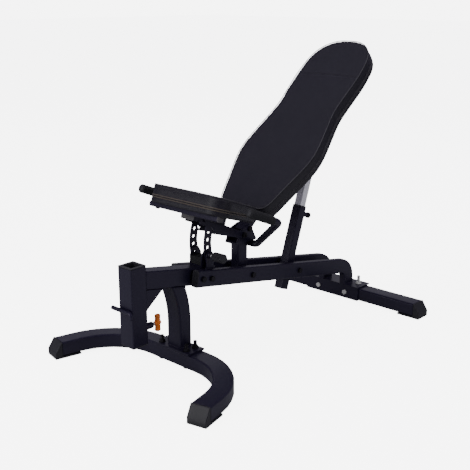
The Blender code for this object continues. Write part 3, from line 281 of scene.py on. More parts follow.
def scuff_group():
    """Handling marks: thin short streaks where a stretched noise crosses a narrow band, and only
    inside slow patches."""
    tree, given, out = node_group("scuffs", (("Scale", 40.0), ("Amount", 0.5)), ("Mask",))
    place = object_coordinates(tree)
    stretch = tree.nodes.new("ShaderNodeMapping")
    stretch.inputs["Scale"].default_value = (1.0, 1.0, 6.0)
    stretch.inputs["Rotation"].default_value = (0.5, 0.8, 0.3)
    tree.links.new(place, stretch.inputs["Vector"])
    streak = noise(tree, stretch.outputs["Vector"], given.outputs["Scale"], 5.0, 0.7)
    near = math_node(tree, "ABSOLUTE", math_node(tree, "SUBTRACT", streak, 0.5))
    line = mapped(tree, near, 0.0, 0.012, 1.0, 0.0)
    patch = mapped(tree, noise(tree, place, 14.0, 2.0), 0.52, 0.66, 0.0, 1.0)
    both = math_node(tree, "MULTIPLY", line, patch)
    tree.links.new(math_node(tree, "MULTIPLY", both, given.outputs["Amount"]), out.inputs["Mask"])
    return tree


def dust_group():
    """Dust: a thin veil on faces that look up, broken by noise."""
    tree, given, out = node_group("dust", (("Amount", 0.2),), ("Mask",))
    split = tree.nodes.new("ShaderNodeSeparateXYZ")
    tree.links.new(tree.nodes.new("ShaderNodeNewGeometry").outputs["Normal"], split.inputs[0])
    up = mapped(tree, split.outputs["Z"], 0.35, 1.0, 0.0, 1.0)
    specks = noise(tree, object_coordinates(tree), 35.0, 6.0, 0.7)
    cloud = mapped(tree, specks, 0.35, 0.75, 0.2, 1.0)
    veil = math_node(tree, "MULTIPLY", up, cloud)
    tree.links.new(math_node(tree, "MULTIPLY", veil, given.outputs["Amount"]), out.inputs["Mask"])
    return tree


def grain_group():
    """Leather grain: pebbles from distance to cell edges, with a finer pebble inside each."""
    tree, given, out = node_group("leather_grain", (("Scale", 520.0), ("Softness", 0.16)),
                                  ("Height", "Crease"))
    place = object_coordinates(tree)
    bent = tree.nodes.new("ShaderNodeVectorMath")
    bent.operation = "MULTIPLY_ADD"
    warp = tree.nodes.new("ShaderNodeTexNoise")
    warp.inputs["Scale"].default_value = 220.0
    tree.links.new(place, warp.inputs["Vector"])
    tree.links.new(warp.outputs["Color"], bent.inputs[0])
    bent.inputs[1].default_value = (0.0022, 0.0022, 0.0022)
    tree.links.new(place, bent.inputs[2])
    cells = tree.nodes.new("ShaderNodeTexVoronoi")
    cells.feature = "DISTANCE_TO_EDGE"
    tree.links.new(bent.outputs[0], cells.inputs["Vector"])
    tree.links.new(given.outputs["Scale"], cells.inputs["Scale"])
    pebble = math_node(tree, "DIVIDE", cells.outputs["Distance"], given.outputs["Softness"])
    pebble = math_node(tree, "MINIMUM", pebble, 1.0)
    fine = math_node(tree, "MULTIPLY", noise(tree, place, 2400.0, 2.0), 0.25)
    tree.links.new(math_node(tree, "ADD", pebble, fine), out.inputs["Height"])
    tree.links.new(math_node(tree, "SUBTRACT", 1.0, pebble), out.inputs["Crease"])
    return tree


def spangle_group():
    """Plating: fine lines round the part and a faint crystal pattern."""
    tree, given, out = node_group("spangle", (("Scale", 260.0),), ("Height", "Tone"))
    place = object_coordinates(tree)
    stretch = tree.nodes.new("ShaderNodeMapping")
    stretch.inputs["Scale"].default_value = (1.0, 1.0, 12.0)
    tree.links.new(place, stretch.inputs["Vector"])
    tree.links.new(noise(tree, stretch.outputs["Vector"], given.outputs["Scale"], 3.0),
                   out.inputs["Height"])
    cells = tree.nodes.new("ShaderNodeTexVoronoi")
    cells.inputs["Scale"].default_value = 320.0
    tree.links.new(place, cells.inputs["Vector"])
    split = tree.nodes.new("ShaderNodeSeparateColor")
    tree.links.new(cells.outputs["Color"], split.inputs[0])
    tree.links.new(split.outputs[0], out.inputs["Tone"])
    return tree


PEEL = orange_peel_group()
SCUFFS = scuff_group()
DUST = dust_group()
GRAIN = grain_group()
SPANGLE = spangle_group()


class Finish:
    """A material under construction: its shader, and the chain of colours laid over each other."""

    def __init__(self, name, colour, roughness, metallic=0.0):
        self.material = bpy.data.materials.new(name)
        self.material.use_nodes = True
        self.tree = self.material.node_tree
        self.shader = self.tree.nodes["Principled BSDF"]
        self.shader.inputs["Metallic"].default_value = metallic
        self.roughness = roughness
        self.colour = self.tree.nodes.new("ShaderNodeRGB").outputs[0]
        self.colour.default_value = (*colour, 1)

    def place(self, group, **values):
        """Adds a shared node group with its settings, and gives back its outputs."""
        node = self.tree.nodes.new("ShaderNodeGroup")
        node.node_tree = group
        for label, value in values.items():
            node.inputs[label].default_value = value
        return node.outputs

    def tint(self, mask, colour, strength=1.0):
        """Mixes a colour over what is there, as far as the mask says. Inputs 6 and 7 and output 2
        are the Mix node's colour sockets."""
        mix = self.tree.nodes.new("ShaderNodeMix")
        mix.data_type = "RGBA"
        amount = math_node(self.tree, "MULTIPLY", mask, strength)
        self.tree.links.new(amount, mix.inputs["Factor"])
        self.tree.links.new(self.colour, mix.inputs[6])
        mix.inputs[7].default_value = (*colour, 1)
        self.colour = mix.outputs[2]

    def bump(self, height, distance, strength):
        """Turns a height into a bump of the surface. distance is in metres."""
        node = self.tree.nodes.new("ShaderNodeBump")
        node.inputs["Distance"].default_value = distance
        node.inputs["Strength"].default_value = strength
        self.tree.links.new(height, node.inputs["Height"])
        self.tree.links.new(node.outputs["Normal"], self.shader.inputs["Normal"])

    def done(self, rough_mask, spread):
        """Links the colour, lets the roughness vary by the mask and gives back the material."""
        self.tree.links.new(self.colour, self.shader.inputs["Base Color"])
        value = mapped(self.tree, rough_mask, 0.0, 1.0, self.roughness - spread,
                       self.roughness + spread)
        self.tree.links.new(value, self.shader.inputs["Roughness"])
        return self.material


def shaded(colour, factor):
    """A colour made darker or lighter, no brighter than white."""
    return tuple(min(1.0, factor * c) for c in colour)


def powder_coat(name, colour, roughness):
    """Satin powder coat: orange peel, thin scuffs and a little dust on top."""
    finish = Finish(name, colour, roughness)
    peel = finish.place(PEEL)
    finish.tint(peel["Cloud"], shaded(colour, 1.4), 0.5)
    scuffs = finish.place(SCUFFS, Amount=0.35)["Mask"]
    finish.tint(scuffs, (0.06, 0.06, 0.07), 0.5)
    finish.tint(finish.place(DUST, Amount=0.10)["Mask"], (0.13, 0.12, 0.13), 0.3)
    finish.bump(peel["Height"], 0.0004, 0.22)
    finish.shader.inputs["Specular IOR Level"].default_value = 0.55
    finish.shader.inputs["Specular Tint"].default_value = (0.88, 0.82, 1.0, 1)
    return finish.done(peel["Cloud"], 0.08)


def leatherette(name, colour, roughness, scale):
    """Vinyl with a leather grain, darker in its creases."""
    finish = Finish(name, colour, roughness)
    grain = finish.place(GRAIN, Scale=scale)
    finish.tint(grain["Crease"], shaded(colour, 0.45), 0.7)
    finish.tint(finish.place(PEEL)["Cloud"], shaded(colour, 1.6), 0.4)
    finish.tint(finish.place(DUST, Amount=0.12)["Mask"], (0.16, 0.15, 0.16), 0.2)
    finish.bump(grain["Height"], 0.0006, 0.30)
    return finish.done(grain["Crease"], 0.10)


def moulded(name, colour, roughness, texture=900.0, bump=0.25, dust=0.10):
    """Plastic, foam, rubber or thread, with the fine texture that its mould left."""
    finish = Finish(name, colour, roughness)
    peel = finish.place(PEEL, Scale=texture, Waves=140.0)
    finish.tint(peel["Cloud"], shaded(colour, 1.35), 0.5)
    finish.tint(finish.place(SCUFFS, Scale=70.0, Amount=0.4)["Mask"], (0.25, 0.24, 0.23), 0.3)
    finish.tint(finish.place(DUST, Amount=dust)["Mask"], (0.30, 0.28, 0.27), 0.25)
    finish.bump(peel["Height"], 0.0004, bump)
    return finish.done(peel["Cloud"], 0.08)


def plated(name, colour, roughness, metallic):
    """Plated or blackened steel, with a faint crystal pattern and scuffs."""
    finish = Finish(name, colour, roughness, metallic)
    spangle = finish.place(SPANGLE)
    finish.tint(spangle["Tone"], shaded(colour, 0.72), 0.5)
    finish.tint(finish.place(SCUFFS, Scale=90.0, Amount=0.6)["Mask"], (0.30, 0.27, 0.22), 0.5)
    finish.bump(spangle["Height"], 0.0002, 0.15)
    return finish.done(spangle["Tone"], 0.09)


def silver_lacquer(name, colour, roughness):
    """Silver paint, only a little metallic."""
    finish = Finish(name, colour, roughness, 0.15)
    spangle = finish.place(SPANGLE, Scale=500.0)
    finish.tint(spangle["Tone"], shaded(colour, 0.85), 0.35)
    finish.tint(finish.place(SCUFFS, Scale=60.0, Amount=0.7)["Mask"], (0.25, 0.25, 0.26), 0.4)
    finish.bump(spangle["Height"], 0.0002, 0.2)
    return finish.done(spangle["Tone"], 0.07)


def stained_board(name):
    """Dark plywood: long fibres, with the odd darker streak."""
    finish = Finish(name, (0.035, 0.028, 0.023), 0.75)
    tree = finish.tree
    stretch = tree.nodes.new("ShaderNodeMapping")
    stretch.inputs["Scale"].default_value = (1.0, 14.0, 1.0)
    tree.links.new(object_coordinates(tree), stretch.inputs["Vector"])
    fibres = noise(tree, stretch.outputs["Vector"], 60.0, 8.0, 0.65)
    finish.tint(mapped(tree, fibres, 0.35, 0.65, 0.0, 1.0), (0.09, 0.07, 0.055), 0.7)
    finish.bump(fibres, 0.0005, 0.4)
    return finish.done(fibres, 0.12)


FINISH = {
    "black_powder_coat": powder_coat("satin_black_powder_coat", (0.0076, 0.0060, 0.0165), 0.36),
    "black_plastic": moulded("black_moulded_plastic", (0.014, 0.0135, 0.017), 0.50),
    "zinc_plate": plated("bright_zinc_plate", (0.80, 0.80, 0.78), 0.32, 0.55),
    "black_steel": plated("blackened_steel", (0.030, 0.028, 0.034), 0.38, 0.8),
    "silver_paint": silver_lacquer("silver_lacquer", (0.88, 0.87, 0.93), 0.34),
    "orange_plastic": moulded("orange_moulded_plastic", (0.76, 0.17, 0.012), 0.36, dust=0.04),
    "black_vinyl": leatherette("black_leatherette", (0.0125, 0.0112, 0.0175), 0.50, 520.0),
    "foam_grip": moulded("dense_foam", (0.012, 0.0118, 0.014), 0.78, texture=1500.0, bump=0.5),
    "plywood": stained_board("stained_plywood"),
    "black_rubber": moulded("ribbed_rubber", (0.010, 0.010, 0.011), 0.82, texture=500.0),
}
SIDE_VINYL = leatherette("smooth_side_leatherette", (0.0095, 0.0082, 0.0130), 0.27, 900.0)
# The piping cord is real, but its colour is lighter than the black vinyl as a painted highlight: it draws the
# bright line along the pads' face edge.
EDGE_PIPING_PAINTED_HIGHLIGHT = leatherette("edge_piping_painted_highlight", (0.050, 0.047, 0.056), 0.35, 1200.0)
SEAT_PIPING = leatherette("seat_piping", (0.075, 0.060, 0.048), 0.35, 1200.0)
PALE_PLASTIC = moulded("grey_moulded_plastic", (0.070, 0.066, 0.070), 0.5)
THREAD = moulded("black_sewing_thread", (0.028, 0.027, 0.032), 0.6, texture=2600.0, bump=0.5)
SLOT_OF = {s["node"]: s["material_slot"] for s in frame["record"]["subparts"]}


# Metal and plastic parts that keep their shape

def refined(node, edge):
    """A merged copy of a CAD node with small round edges and even shading on its flats."""
    copy = linked(f"{node}_piece", NODES[node].data.copy())
    work = bmesh.new()
    work.from_mesh(copy.data)
    bmesh.ops.remove_doubles(work, verts=work.verts, dist=MERGE)
    bmesh.ops.dissolve_limit(work, angle_limit=math.radians(0.4), verts=work.verts,
                             edges=work.edges)
    work.to_mesh(copy.data)
    work.free()
    if copy.data.has_custom_normals:
        copy.data.attributes.remove(copy.data.attributes["custom_normal"])
    copy.data.shade_smooth()
    sharp = math.radians(50)
    copy.data.set_sharp_from_angle(angle=sharp)
    bevel = copy.modifiers.new("small_round_edges", "BEVEL")
    bevel.width = edge
    bevel.segments = 2
    bevel.limit_method = "ANGLE"
    bevel.angle_limit = sharp
    bevel.use_clamp_overlap = True
    bevel.harden_normals = True
    even = copy.modifiers.new("even_flats", "WEIGHTED_NORMAL")
    even.keep_sharp = True
    copy.data.materials.clear()
    copy.data.materials.append(FINISH[SLOT_OF[node]])
    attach(copy, BODY_OF[node])
    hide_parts(node)
    return copy


# Pads

def pad_outline(local, step, passes):
    """The pad's outline at its widest level as a smooth loop in the pad's own axes: the points of
    that level, in order of their angle about its middle."""
    local = np.unique(np.round(local, 5), axis=0)
    level = local[np.abs(local[:, 1]).argmax(), 2]
    ring = local[np.abs(local[:, 2] - level) < 0.0003, :2]
    middle = (ring.min(axis=0) + ring.max(axis=0)) / 2
    angle = np.arctan2(*(ring - middle).T)
    ring = ring[np.argsort(angle)]
    loop = np.column_stack((ring, np.zeros(len(ring))))
    return softened(resampled(loop, step), passes)


def prism(name, loop, low, high):
    """A closed block between two levels over an outline."""
    rings = np.stack([np.column_stack((loop[:, :2], np.full(len(loop), z))) for z in (low, high)])
    points, faces = capped_rings(rings)
    mesh = bpy.data.meshes.new(name)
    mesh.from_pydata(points.tolist(), [], faces)
    return linked(name, mesh)


def evaluated_copy(piece):
    """The mesh of a piece with its modifiers applied."""
    graph = bpy.context.evaluated_depsgraph_get()
    return bpy.data.meshes.new_from_object(piece.evaluated_get(graph))


def filled_with_foam(block, loop, low, high, voxel, most):
    """Blows the block up a little as cloth. Its seams and its underside are held, so that the face
    and the sides swell between them. most caps how far a point moves."""
    remesh = block.modifiers.new("even_mesh", "REMESH")
    remesh.mode = "VOXEL"
    remesh.voxel_size = voxel
    block.data = evaluated_copy(block)
    block.modifiers.clear()
    start = coordinates(block.data)
    reach = np.sqrt(((start[:, None, :2] - loop[None, :, :2]) ** 2).sum(axis=2)).min(axis=1)
    on_seam = (reach < 0.8 * voxel) & (start[:, 2] > high - 0.8 * voxel)
    held = on_seam | (start[:, 2] < low + 1.2 * voxel)
    group = block.vertex_groups.new(name="held")
    group.add(np.nonzero(held)[0].tolist(), 1.0, "REPLACE")
    cloth = block.modifiers.new("swelling", "CLOTH")
    cloth.settings.quality = 4
    cloth.settings.mass = 0.3
    cloth.settings.tension_stiffness = 12
    cloth.settings.compression_stiffness = 12
    cloth.settings.bending_stiffness = 2
    cloth.settings.use_pressure = True
    cloth.settings.uniform_pressure_force = 4
    cloth.settings.vertex_group_mass = "held"
    cloth.settings.effector_weights.gravity = 0
    cloth.point_cache.frame_start = 1
    cloth.point_cache.frame_end = SWELL_FRAMES
    for number in range(1, SWELL_FRAMES + 1):
        bpy.context.scene.frame_set(number)
    swollen = evaluated_copy(block)
    move = coordinates(swollen) - start
    bpy.context.scene.frame_set(1)
    block.modifiers.clear()
    length = np.linalg.norm(move, axis=1)[:, None]
    move *= most * np.tanh(length / most) / np.maximum(length, 1e-9)
    block.data.vertices.foreach_set("co", (start + move).ravel())
    return block


def crowned(spots, low, high, start, length, lift):
    """Raises a pad's upper part: by lift at its front end, falling evenly to nothing at the rear."""
    spots = spots.copy()
    share = np.clip((spots[:, 2] - low) / (high - low), 0, 1)
    spots[:, 2] += lift * share * np.clip(1 - (spots[:, 0] - start) / length, 0, 1)
    return spots


def pad(name, node, axes, voxel, most, lift, passes, seam):
    """An upholstered pad: a foam block under vinyl with a crisp seam round its face. seam is where
    a sewn line crosses the face, as a distance along the pad, or None. It gives back the pad's
    outline, its levels and its reach along, which the piping and the stitches follow."""
    local = points_of(node) @ axes.T
    front, _, low = local.min(axis=0)
    rear, _, high = local.max(axis=0)
    loop = pad_outline(local, 0.004, passes)
    block = prism(name, loop, low, high)
    filled_with_foam(block, loop, low, high, voxel, most)
    work = bmesh.new()
    work.from_mesh(block.data)
    for _ in range(2):
        bmesh.ops.smooth_vert(work, verts=work.verts, factor=0.4, use_axis_x=True,
                              use_axis_y=True, use_axis_z=True)
    work.to_mesh(block.data)
    work.free()
    finer = block.modifiers.new("finer", "SUBSURF")
    finer.levels = finer.render_levels = 1
    block.data = evaluated_copy(block)
    block.modifiers.clear()
    block.vertex_groups.clear()
    spots = coordinates(block.data)
    if seam is not None:
        half_width, depth = 0.0032, 0.0022
        gap = (spots[:, 0] - front - seam) / half_width
        face = np.clip((spots[:, 2] - (high - 0.012)) / 0.010, 0, 1)
        spots[:, 2] -= depth * np.exp(-gap ** 2) * face
    spots = crowned(spots, low, high, front, rear - front, lift)
    block.data.vertices.foreach_set("co", (spots @ axes).ravel())
    block.data.update()
    work = bmesh.new()
    work.from_mesh(block.data)
    bmesh.ops.recalc_face_normals(work, faces=work.faces)
    work.to_mesh(block.data)
    work.free()
    block.data.shade_smooth()
    block.data.materials.append(FINISH["black_vinyl"])
    block.data.materials.append(SIDE_VINYL)
    mark_sides(block.data, axes[2], high)
    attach(block, BODY_OF[node])
    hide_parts(node)
    return loop, low, high, front


def mark_sides(mesh, out, high):
    """The faces below the seam get the smoother vinyl of the sides."""
    count = len(mesh.polygons)
    centre, normal = np.empty(3 * count), np.empty(3 * count)
    mesh.polygons.foreach_get("center", centre)
    mesh.polygons.foreach_get("normal", normal)
    level = centre.reshape(-1, 3) @ out
    facing = normal.reshape(-1, 3) @ out
    below_seam, steep = 0.0015, 0.75
    side = (level < high - below_seam) & (np.abs(facing) < steep)
    mesh.polygons.foreach_set("material_index", side.astype(np.int32))


def round_section(radius, sides=10):
    angle = TAU * np.arange(sides) / sides
    return np.stack((radius * np.cos(angle), radius * np.sin(angle)), axis=1)


def welt(name, loop, level, axes, radius, inset, node, span, finish):
    """A thin round cord sewn in along an outline, at some level of the pad."""
    line = loop.copy()
    line[:, 2] = level
    section = np.repeat(round_section(radius)[None], len(line), axis=0)
    section[..., 0] -= inset
    rings = carried(line, UP, section)
    rows, columns = rings.shape[:2]
    spots = crowned(rings.reshape(-1, 3), *span)
    shown(name, spots @ axes, grid_faces(rows, columns, loop=True), finish, BODY_OF[node])


def skirt(name, loop, top, bottom, axes, node):
    """Vinyl drawn down over the board's edge and folded under it: an L section with round
    corners, carried round the outline."""
    thick, fold = 0.0016, 0.016
    under = bottom - 0.0008
    shape = np.array(((-0.0002, top), (0.0004, top - 0.003), (0.0003, bottom + 0.004),
                      (-0.0006, under - thick * 0.3), (-0.003, under - thick),
                      (-fold + 0.002, under - thick), (-fold, under - thick * 0.4), (-fold, under),
                      (-0.004, under), (-thick - 0.001, bottom + 0.004), (-thick, top)))
    section = np.repeat(shape[None], len(loop), axis=0)
    rings = carried(loop, UP, section)
    rows, columns = rings.shape[:2]
    shown(name, rings.reshape(-1, 3) @ axes, grid_faces(rows, columns, loop=True), SIDE_VINYL,
          BODY_OF[node], 60)


def stitches(name, line, axes, node):
    """A row of short stitches along an open line on the face: each is a six-sided spindle."""
    pitch, length, thick = 0.0045, 0.003, 0.0005
    run = np.concatenate(([0], np.cumsum(np.linalg.norm(np.diff(line, axis=0), axis=1))))
    count = int(run[-1] / pitch)
    at = (np.arange(count) + 0.5) * pitch
    middle = np.stack([np.interp(at, run, line[:, k]) for k in range(3)], axis=1)
    ahead = np.stack([np.interp(at + 0.001, run, line[:, k]) for k in range(3)], axis=1) - middle
    ahead /= np.linalg.norm(ahead, axis=1)[:, None]
    side = np.cross(ahead, UP)
    share = np.array((-0.5, -0.42, -0.2, 0.2, 0.42, 0.5)) * length
    size = np.array((0.15, 0.7, 1.0, 1.0, 0.7, 0.15)) * thick
    sunk = np.array((-1.2, -0.5, 0.0, 0.0, -0.5, -1.2)) * thick
    angle = TAU * np.arange(6) / 6
    ring = size[:, None, None] * np.stack((np.cos(angle), np.sin(angle)), axis=1)[None]
    spots = (middle[:, None, None] + share[None, :, None, None] * ahead[:, None, None]
             + ring[None, ..., 0, None] * side[:, None, None]
             + (ring[None, ..., 1, None] + sunk[None, :, None, None]) * UP)
    faces = []
    for k in range(count):
        faces += grid_faces(6, 6, first=36 * k)
        faces.append([36 * k + j for j in range(6)][::-1])
        faces.append([36 * k + 30 + j for j in range(6)])
    shown(name, spots.reshape(-1, 3) @ axes, faces, THREAD, BODY_OF[node])


def upholster(which, along, out, **shape):
    """A pad with its piping, its skirt over the board and the stitches beside its seam."""
    node, board = f"{which}_pad", f"{which}_board"
    axes = np.stack((along, (0.0, 1.0, 0.0), out))
    loop, low, high, front = pad(f"{which}_cushion", node, axes, **shape)
    span = (low, high, loop[:, 0].min(), np.ptp(loop[:, 0]), shape["lift"])
    # The welt round the face takes the lighter piping colour, a painted highlight along the face's edge.
    welt(f"{which}_face_welt_painted_highlight", loop, high - 0.0008, axes, 0.0014, 0.0012, node, span, EDGE_PIPING_PAINTED_HIGHLIGHT)
    # The back pad's piping takes the same lighter colour, a painted highlight.
    piping = SEAT_PIPING if which == "seat" else EDGE_PIPING_PAINTED_HIGHLIGHT
    for above, label in ((0.0062, "upper"), (0.0012, "lower")):
        welt(f"{which}_{label}_piping", loop, low + above, axes, 0.0013, 0.0004, node, span, piping)
    skirt(f"{which}_skirt", loop, low + 0.0005, farthest(points_of(board), out)[0], axes, node)
    if shape["seam"] is None:
        return
    half_width, count, beside_seam = 0.108, 60, 0.0075
    spread = np.linspace(-half_width, half_width, count)
    level = high + 0.0028 - 0.0032 * (spread / half_width) ** 2
    for side, label in ((-1, "lower"), (1, "upper")):
        at = front + shape["seam"] + side * beside_seam
        line = np.stack((np.full(count, at), spread, level), axis=1)
        stitches(f"{which}_{label}_stitching", line, axes, node)


# Grips, knobs and handles

def axis_of(node, direction):
    """The middles of a straight round node's two ends, in order along a direction."""
    direction = unit(direction)
    points = points_of(node)
    height = points @ direction
    ends = [points[np.abs(height - h) < 0.002] for h in (height.min(), height.max())]
    return [(end.min(axis=0) + end.max(axis=0)) / 2 for end in ends]


def rounded_end(from_end, reach):
    """0 at a shape's end, rising on a quarter circle to 1 at a distance of reach from it."""
    return np.sqrt(np.clip(1 - (1 - np.minimum(from_end / reach, 1)) ** 2, 0, 1))


def disc_rings(foot, axis, rise, radii, sides):
    """Points and faces of a turned shape with the same radius all round at each height."""
    return capped_rings(turned(foot, axis, rise, np.repeat(radii[:, None], sides, axis=1)))


def grips():
    """Foam sleeves: a knurl of crossed waves between two smooth collars, with a round lip."""
    slope = unit((-0.1245, 0.0, 0.0515))  # towards the grip's free end
    for name in ("left", "right"):
        node = f"handle_grip_{name}"
        inner, outer = axis_of(node, slope)
        length = float(np.linalg.norm(outer - inner))
        sides, rows = 96, 190
        round_waves, waves_along = 16, 900.0
        along = np.linspace(0, length, rows)
        share = along / length
        angle = TAU * np.arange(sides) / sides
        turn, climb = round_waves * angle[None], waves_along * along[:, None]
        wave = np.sin(turn + climb) * np.sin(turn - climb)
        band = np.clip((share - 0.07) / 0.03, 0, 1) * np.clip((0.93 - share) / 0.03, 0, 1)
        lip = rounded_end(np.minimum(along, length - along), 0.004)
        knurl = 0.0007 * band[:, None] * (0.5 + 0.5 * wave)
        radius = (0.0105 + 0.0032 * lip)[:, None] - knurl
        points, faces = capped_rings(turned(inner, slope, along, radius))
        piece = shown(f"{name}_foam_grip", points, faces, FINISH["foam_grip"], "base",
                      60)
        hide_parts(node)
        rise = np.array((0.0, 0.0006, 0.0016, 0.0022, 0.0024))
        disc = np.array((0.0094, 0.0096, 0.0088, 0.0060, 0.0010))
        points, faces = disc_rings(outer, slope, rise, disc, 40)
        shown(f"{name}_grip_button", points, faces, FINISH["black_plastic"], "base")


def lock_knob():
    """A ribbed knob: its radius dips between eighteen ribs, less so near the round ends."""
    low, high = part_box("seat_lock_knob")
    length = high[1] - low[1]
    middle = ((low[0] + high[0]) / 2, high[1], (low[2] + high[2]) / 2)
    along = np.concatenate((np.linspace(0, 0.003, 8), np.linspace(0.004, length - 0.005, 40),
                            np.linspace(length - 0.004, length, 10)))
    sides, ribs = 144, 18
    angle = TAU * np.arange(sides) / sides
    ends = np.minimum(along, length - along)
    base = 0.0105 + 0.0035 * rounded_end(ends, 0.004) + 0.0008 * along / length
    rib = (0.5 + 0.5 * np.cos(ribs * angle)) ** 0.6
    depth = 0.0014 * np.clip(ends / 0.006, 0, 1)
    radius = base[:, None] - depth[:, None] * (1 - rib[None])
    points, faces = capped_rings(turned(middle, (0, -1, 0), along, radius))
    piece = shown("ribbed_lock_knob", points, faces, FINISH["black_plastic"], "seat_lock",
                  60)
    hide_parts("seat_lock_knob")


def front_pull():
    """The T-shaped pull of the front pin: a bar with a waist and round ends, flattened a little
    front to back, with finger grooves, and a boss round the rod."""
    low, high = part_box("receiver_pin_handle")
    middle = (np.array(low) + np.array(high)) / 2
    half = (high[2] - low[2]) / 2
    along = np.concatenate((-half + 0.004 * (1 - np.cos(np.linspace(0, math.pi / 2, 9))),
                            np.linspace(-half + 0.0045, half - 0.0045, 60),
                            half - 0.004 * (1 - np.cos(np.linspace(math.pi / 2, 0, 9)))))
    from_end, end_reach, groove_pitch = half - np.abs(along), 0.005, 0.0030
    size = 0.0030 + 0.0052 * rounded_end(from_end, end_reach)
    size += 0.0009 * np.cos(math.pi * along / half) ** 2
    off_middle = np.clip((np.abs(along) - 0.006) / 0.002, 0, 1)
    wave = 0.5 + 0.5 * np.cos(TAU * along / groove_pitch)
    grooves = 0.00035 * off_middle * wave * np.minimum(from_end / end_reach, 1)
    angle = TAU * np.arange(64) / 64
    radius = (size - grooves)[:, None] * (1 - 0.06 * np.cos(2 * angle)[None])
    points, faces = capped_rings(turned(middle, UP, along, radius))
    piece = shown("orange_front_pull", points, faces, FINISH["orange_plastic"], "receiver_pin",
                  60)
    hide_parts("receiver_pin_handle")
    rise = np.array((-0.0125, -0.0120, -0.0060, 0.0, 0.0090, 0.0098, 0.0101))
    disc = np.array((0.0055, 0.0064, 0.0068, 0.0070, 0.0064, 0.0055, 0.0020))
    points, faces = disc_rings(middle, (1, 0, 0), rise, disc, 48)
    shown("orange_pull_boss", points, faces, FINISH["orange_plastic"], "receiver_pin")


# Welds, plugs, threads and screws

def bead(name, loop, normal, body):
    """A weld bead along a loop: a flat round section that swells at every drop of the weld."""
    step, drop_length, size = 0.0012, 0.0045, 0.0021
    line = resampled(loop, step)
    run = np.arange(len(line)) * step
    drops = max(int(run[-1] / drop_length), 1)
    swell = 1 + 0.16 * np.abs(np.sin(math.pi * drops * run / (run[-1] + step)))
    section = round_section(1.0, 8)[None] * (size * swell)[:, None, None]
    section = section * np.array((1.0, 0.85))
    rings = carried(line, np.asarray(unit(normal)), section)
    rows, columns = rings.shape[:2]
    shown(name, rings.reshape(-1, 3), grid_faces(rows, columns, loop=True),
          FINISH["black_powder_coat"], body, 60)


def welds():
    """Beads where tubes and plates stand on each other: round each named node's end."""
    ends = (("front_beam", (-1, 0, 0)), ("front_leg", BEAM_OUT), ("front_leg", -UP),
            ("left_rail", -UP), ("right_rail", -UP), ("seat_post", UP),
            ("seat_lock_barrel", -BEAM_OUT))
    for k, (node, direction) in enumerate(ends):
        loop, _ = end_loop(node, direction)
        bead(f"weld_{k}_{node}", loop, direction, BODY_OF[node])


def plug(name, node, direction, finish):
    """A tube plug: a flange over the tube's end with round edges and a shallow dished middle. Each
    ring is a share of the end's outline, at a height over it."""
    loop, middle = end_loop(node, direction)
    lift = 0.0018
    rings = np.array(((0.965, 0.0002), (0.992, 0.0004), (0.995, 0.6 * lift), (0.975, 0.92 * lift),
                      (0.93, lift), (0.80, lift), (0.72, 0.75 * lift), (0.60, 0.55 * lift),
                      (0.02, 0.5 * lift)))
    points, faces = capped_rings(nested(resampled(loop, 0.0016), middle, unit(direction), rings))
    shown(name, points, faces, finish, BODY_OF[node], 50)


def nested(loop, middle, direction, rings):
    """Outlines one inside another: each of rings is (share of the loop's size, height)."""
    return (middle + rings[:, 0, None, None] * (loop - middle)[None]
            + rings[:, 1, None, None] * direction)


def plugs():
    """Plugs in the open ends of the tubes."""
    black = FINISH["black_plastic"]
    for name, node, direction, finish in (
            ("cross_bar_plug_left", "seat_cross_bar", (0, 1, 0), PALE_PLASTIC),
            ("cross_bar_plug_right", "seat_cross_bar", (0, -1, 0), PALE_PLASTIC),
            ("seat_tube_rear_plug", "seat_frame_tube", SEAT_ALONG, black),
            ("spine_top_plug", "back_spine", BACK_ALONG, black),
            ("left_rail_plug", "left_rail", -BEAM_ALONG, black),
            ("right_rail_plug", "right_rail", -BEAM_ALONG, black),
            ("beam_rear_plug", "front_beam", BEAM_ALONG, black),
            ("spine_foot_plug", "back_spine", -BACK_ALONG, black),
            ("seat_tube_front_plug", "seat_frame_tube", -SEAT_ALONG, PALE_PLASTIC)):
        plug(name, node, direction, finish)


def thread(name, foot, length, body, slot):
    """A threaded end that points up: the radius is a triangle wave of the turn plus the distance
    over the pitch, and it runs out at the tip."""
    radius, pitch = 0.005, 0.0015
    sides, rows_a_turn = 28, 7
    rows = max(int(length / pitch * rows_a_turn), 12)
    along = np.linspace(0, length, rows)
    angle = np.arange(sides) / sides
    phase = (along[:, None] / pitch - angle[None]) % 1.0
    ridge = 1 - np.abs(2 * phase - 1)
    fade = np.clip((length - along) / (1.2 * pitch), 0, 1)[:, None]
    size = radius + 0.00006 + 0.00050 * ridge * fade
    points, faces = capped_rings(turned(foot, UP, along, size))
    shown(name, points, faces, FINISH[slot], body, 25)


def threads():
    """Threads on the free ends of the upright bolts."""
    for start, tail in (("clamp_bolt", 0.020), ("flange_bolt", 0.013)):
        for node in [n for n in NODES if n.startswith(start)]:
            low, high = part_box(node)
            foot = ((low[0] + high[0]) / 2, (low[1] + high[1]) / 2, high[2] - tail)
            thread(f"{node}_thread", foot, tail + 0.0002, BODY_OF[node], SLOT_OF[node])


def screw_head(name, spot, axis, body):
    """A button head with a hexagon socket: a dome that drops into six flat walls."""
    radius, height, sides = 0.0065, 0.0035, 48
    angle = TAU * np.arange(sides) / sides
    hexagon = 1 / np.cos((angle + math.pi / 6) % (math.pi / 3) - math.pi / 6)
    share = np.linspace(0, 1, 10)
    along = np.concatenate(([0.0], height * (0.35 + 0.65 * share), [height * 0.98, height * 0.35]))
    outer = radius * np.concatenate(([1.0], np.sqrt(1 - 0.48 * share)))
    radii = np.concatenate((np.repeat(outer[:, None], sides, axis=1),
                            np.stack((0.5 * radius * hexagon, 0.48 * radius * hexagon))))
    points, faces = capped_rings(turned(spot, axis, along, radii))
    shown(name, points, faces, FINISH["black_steel"], body, 35)


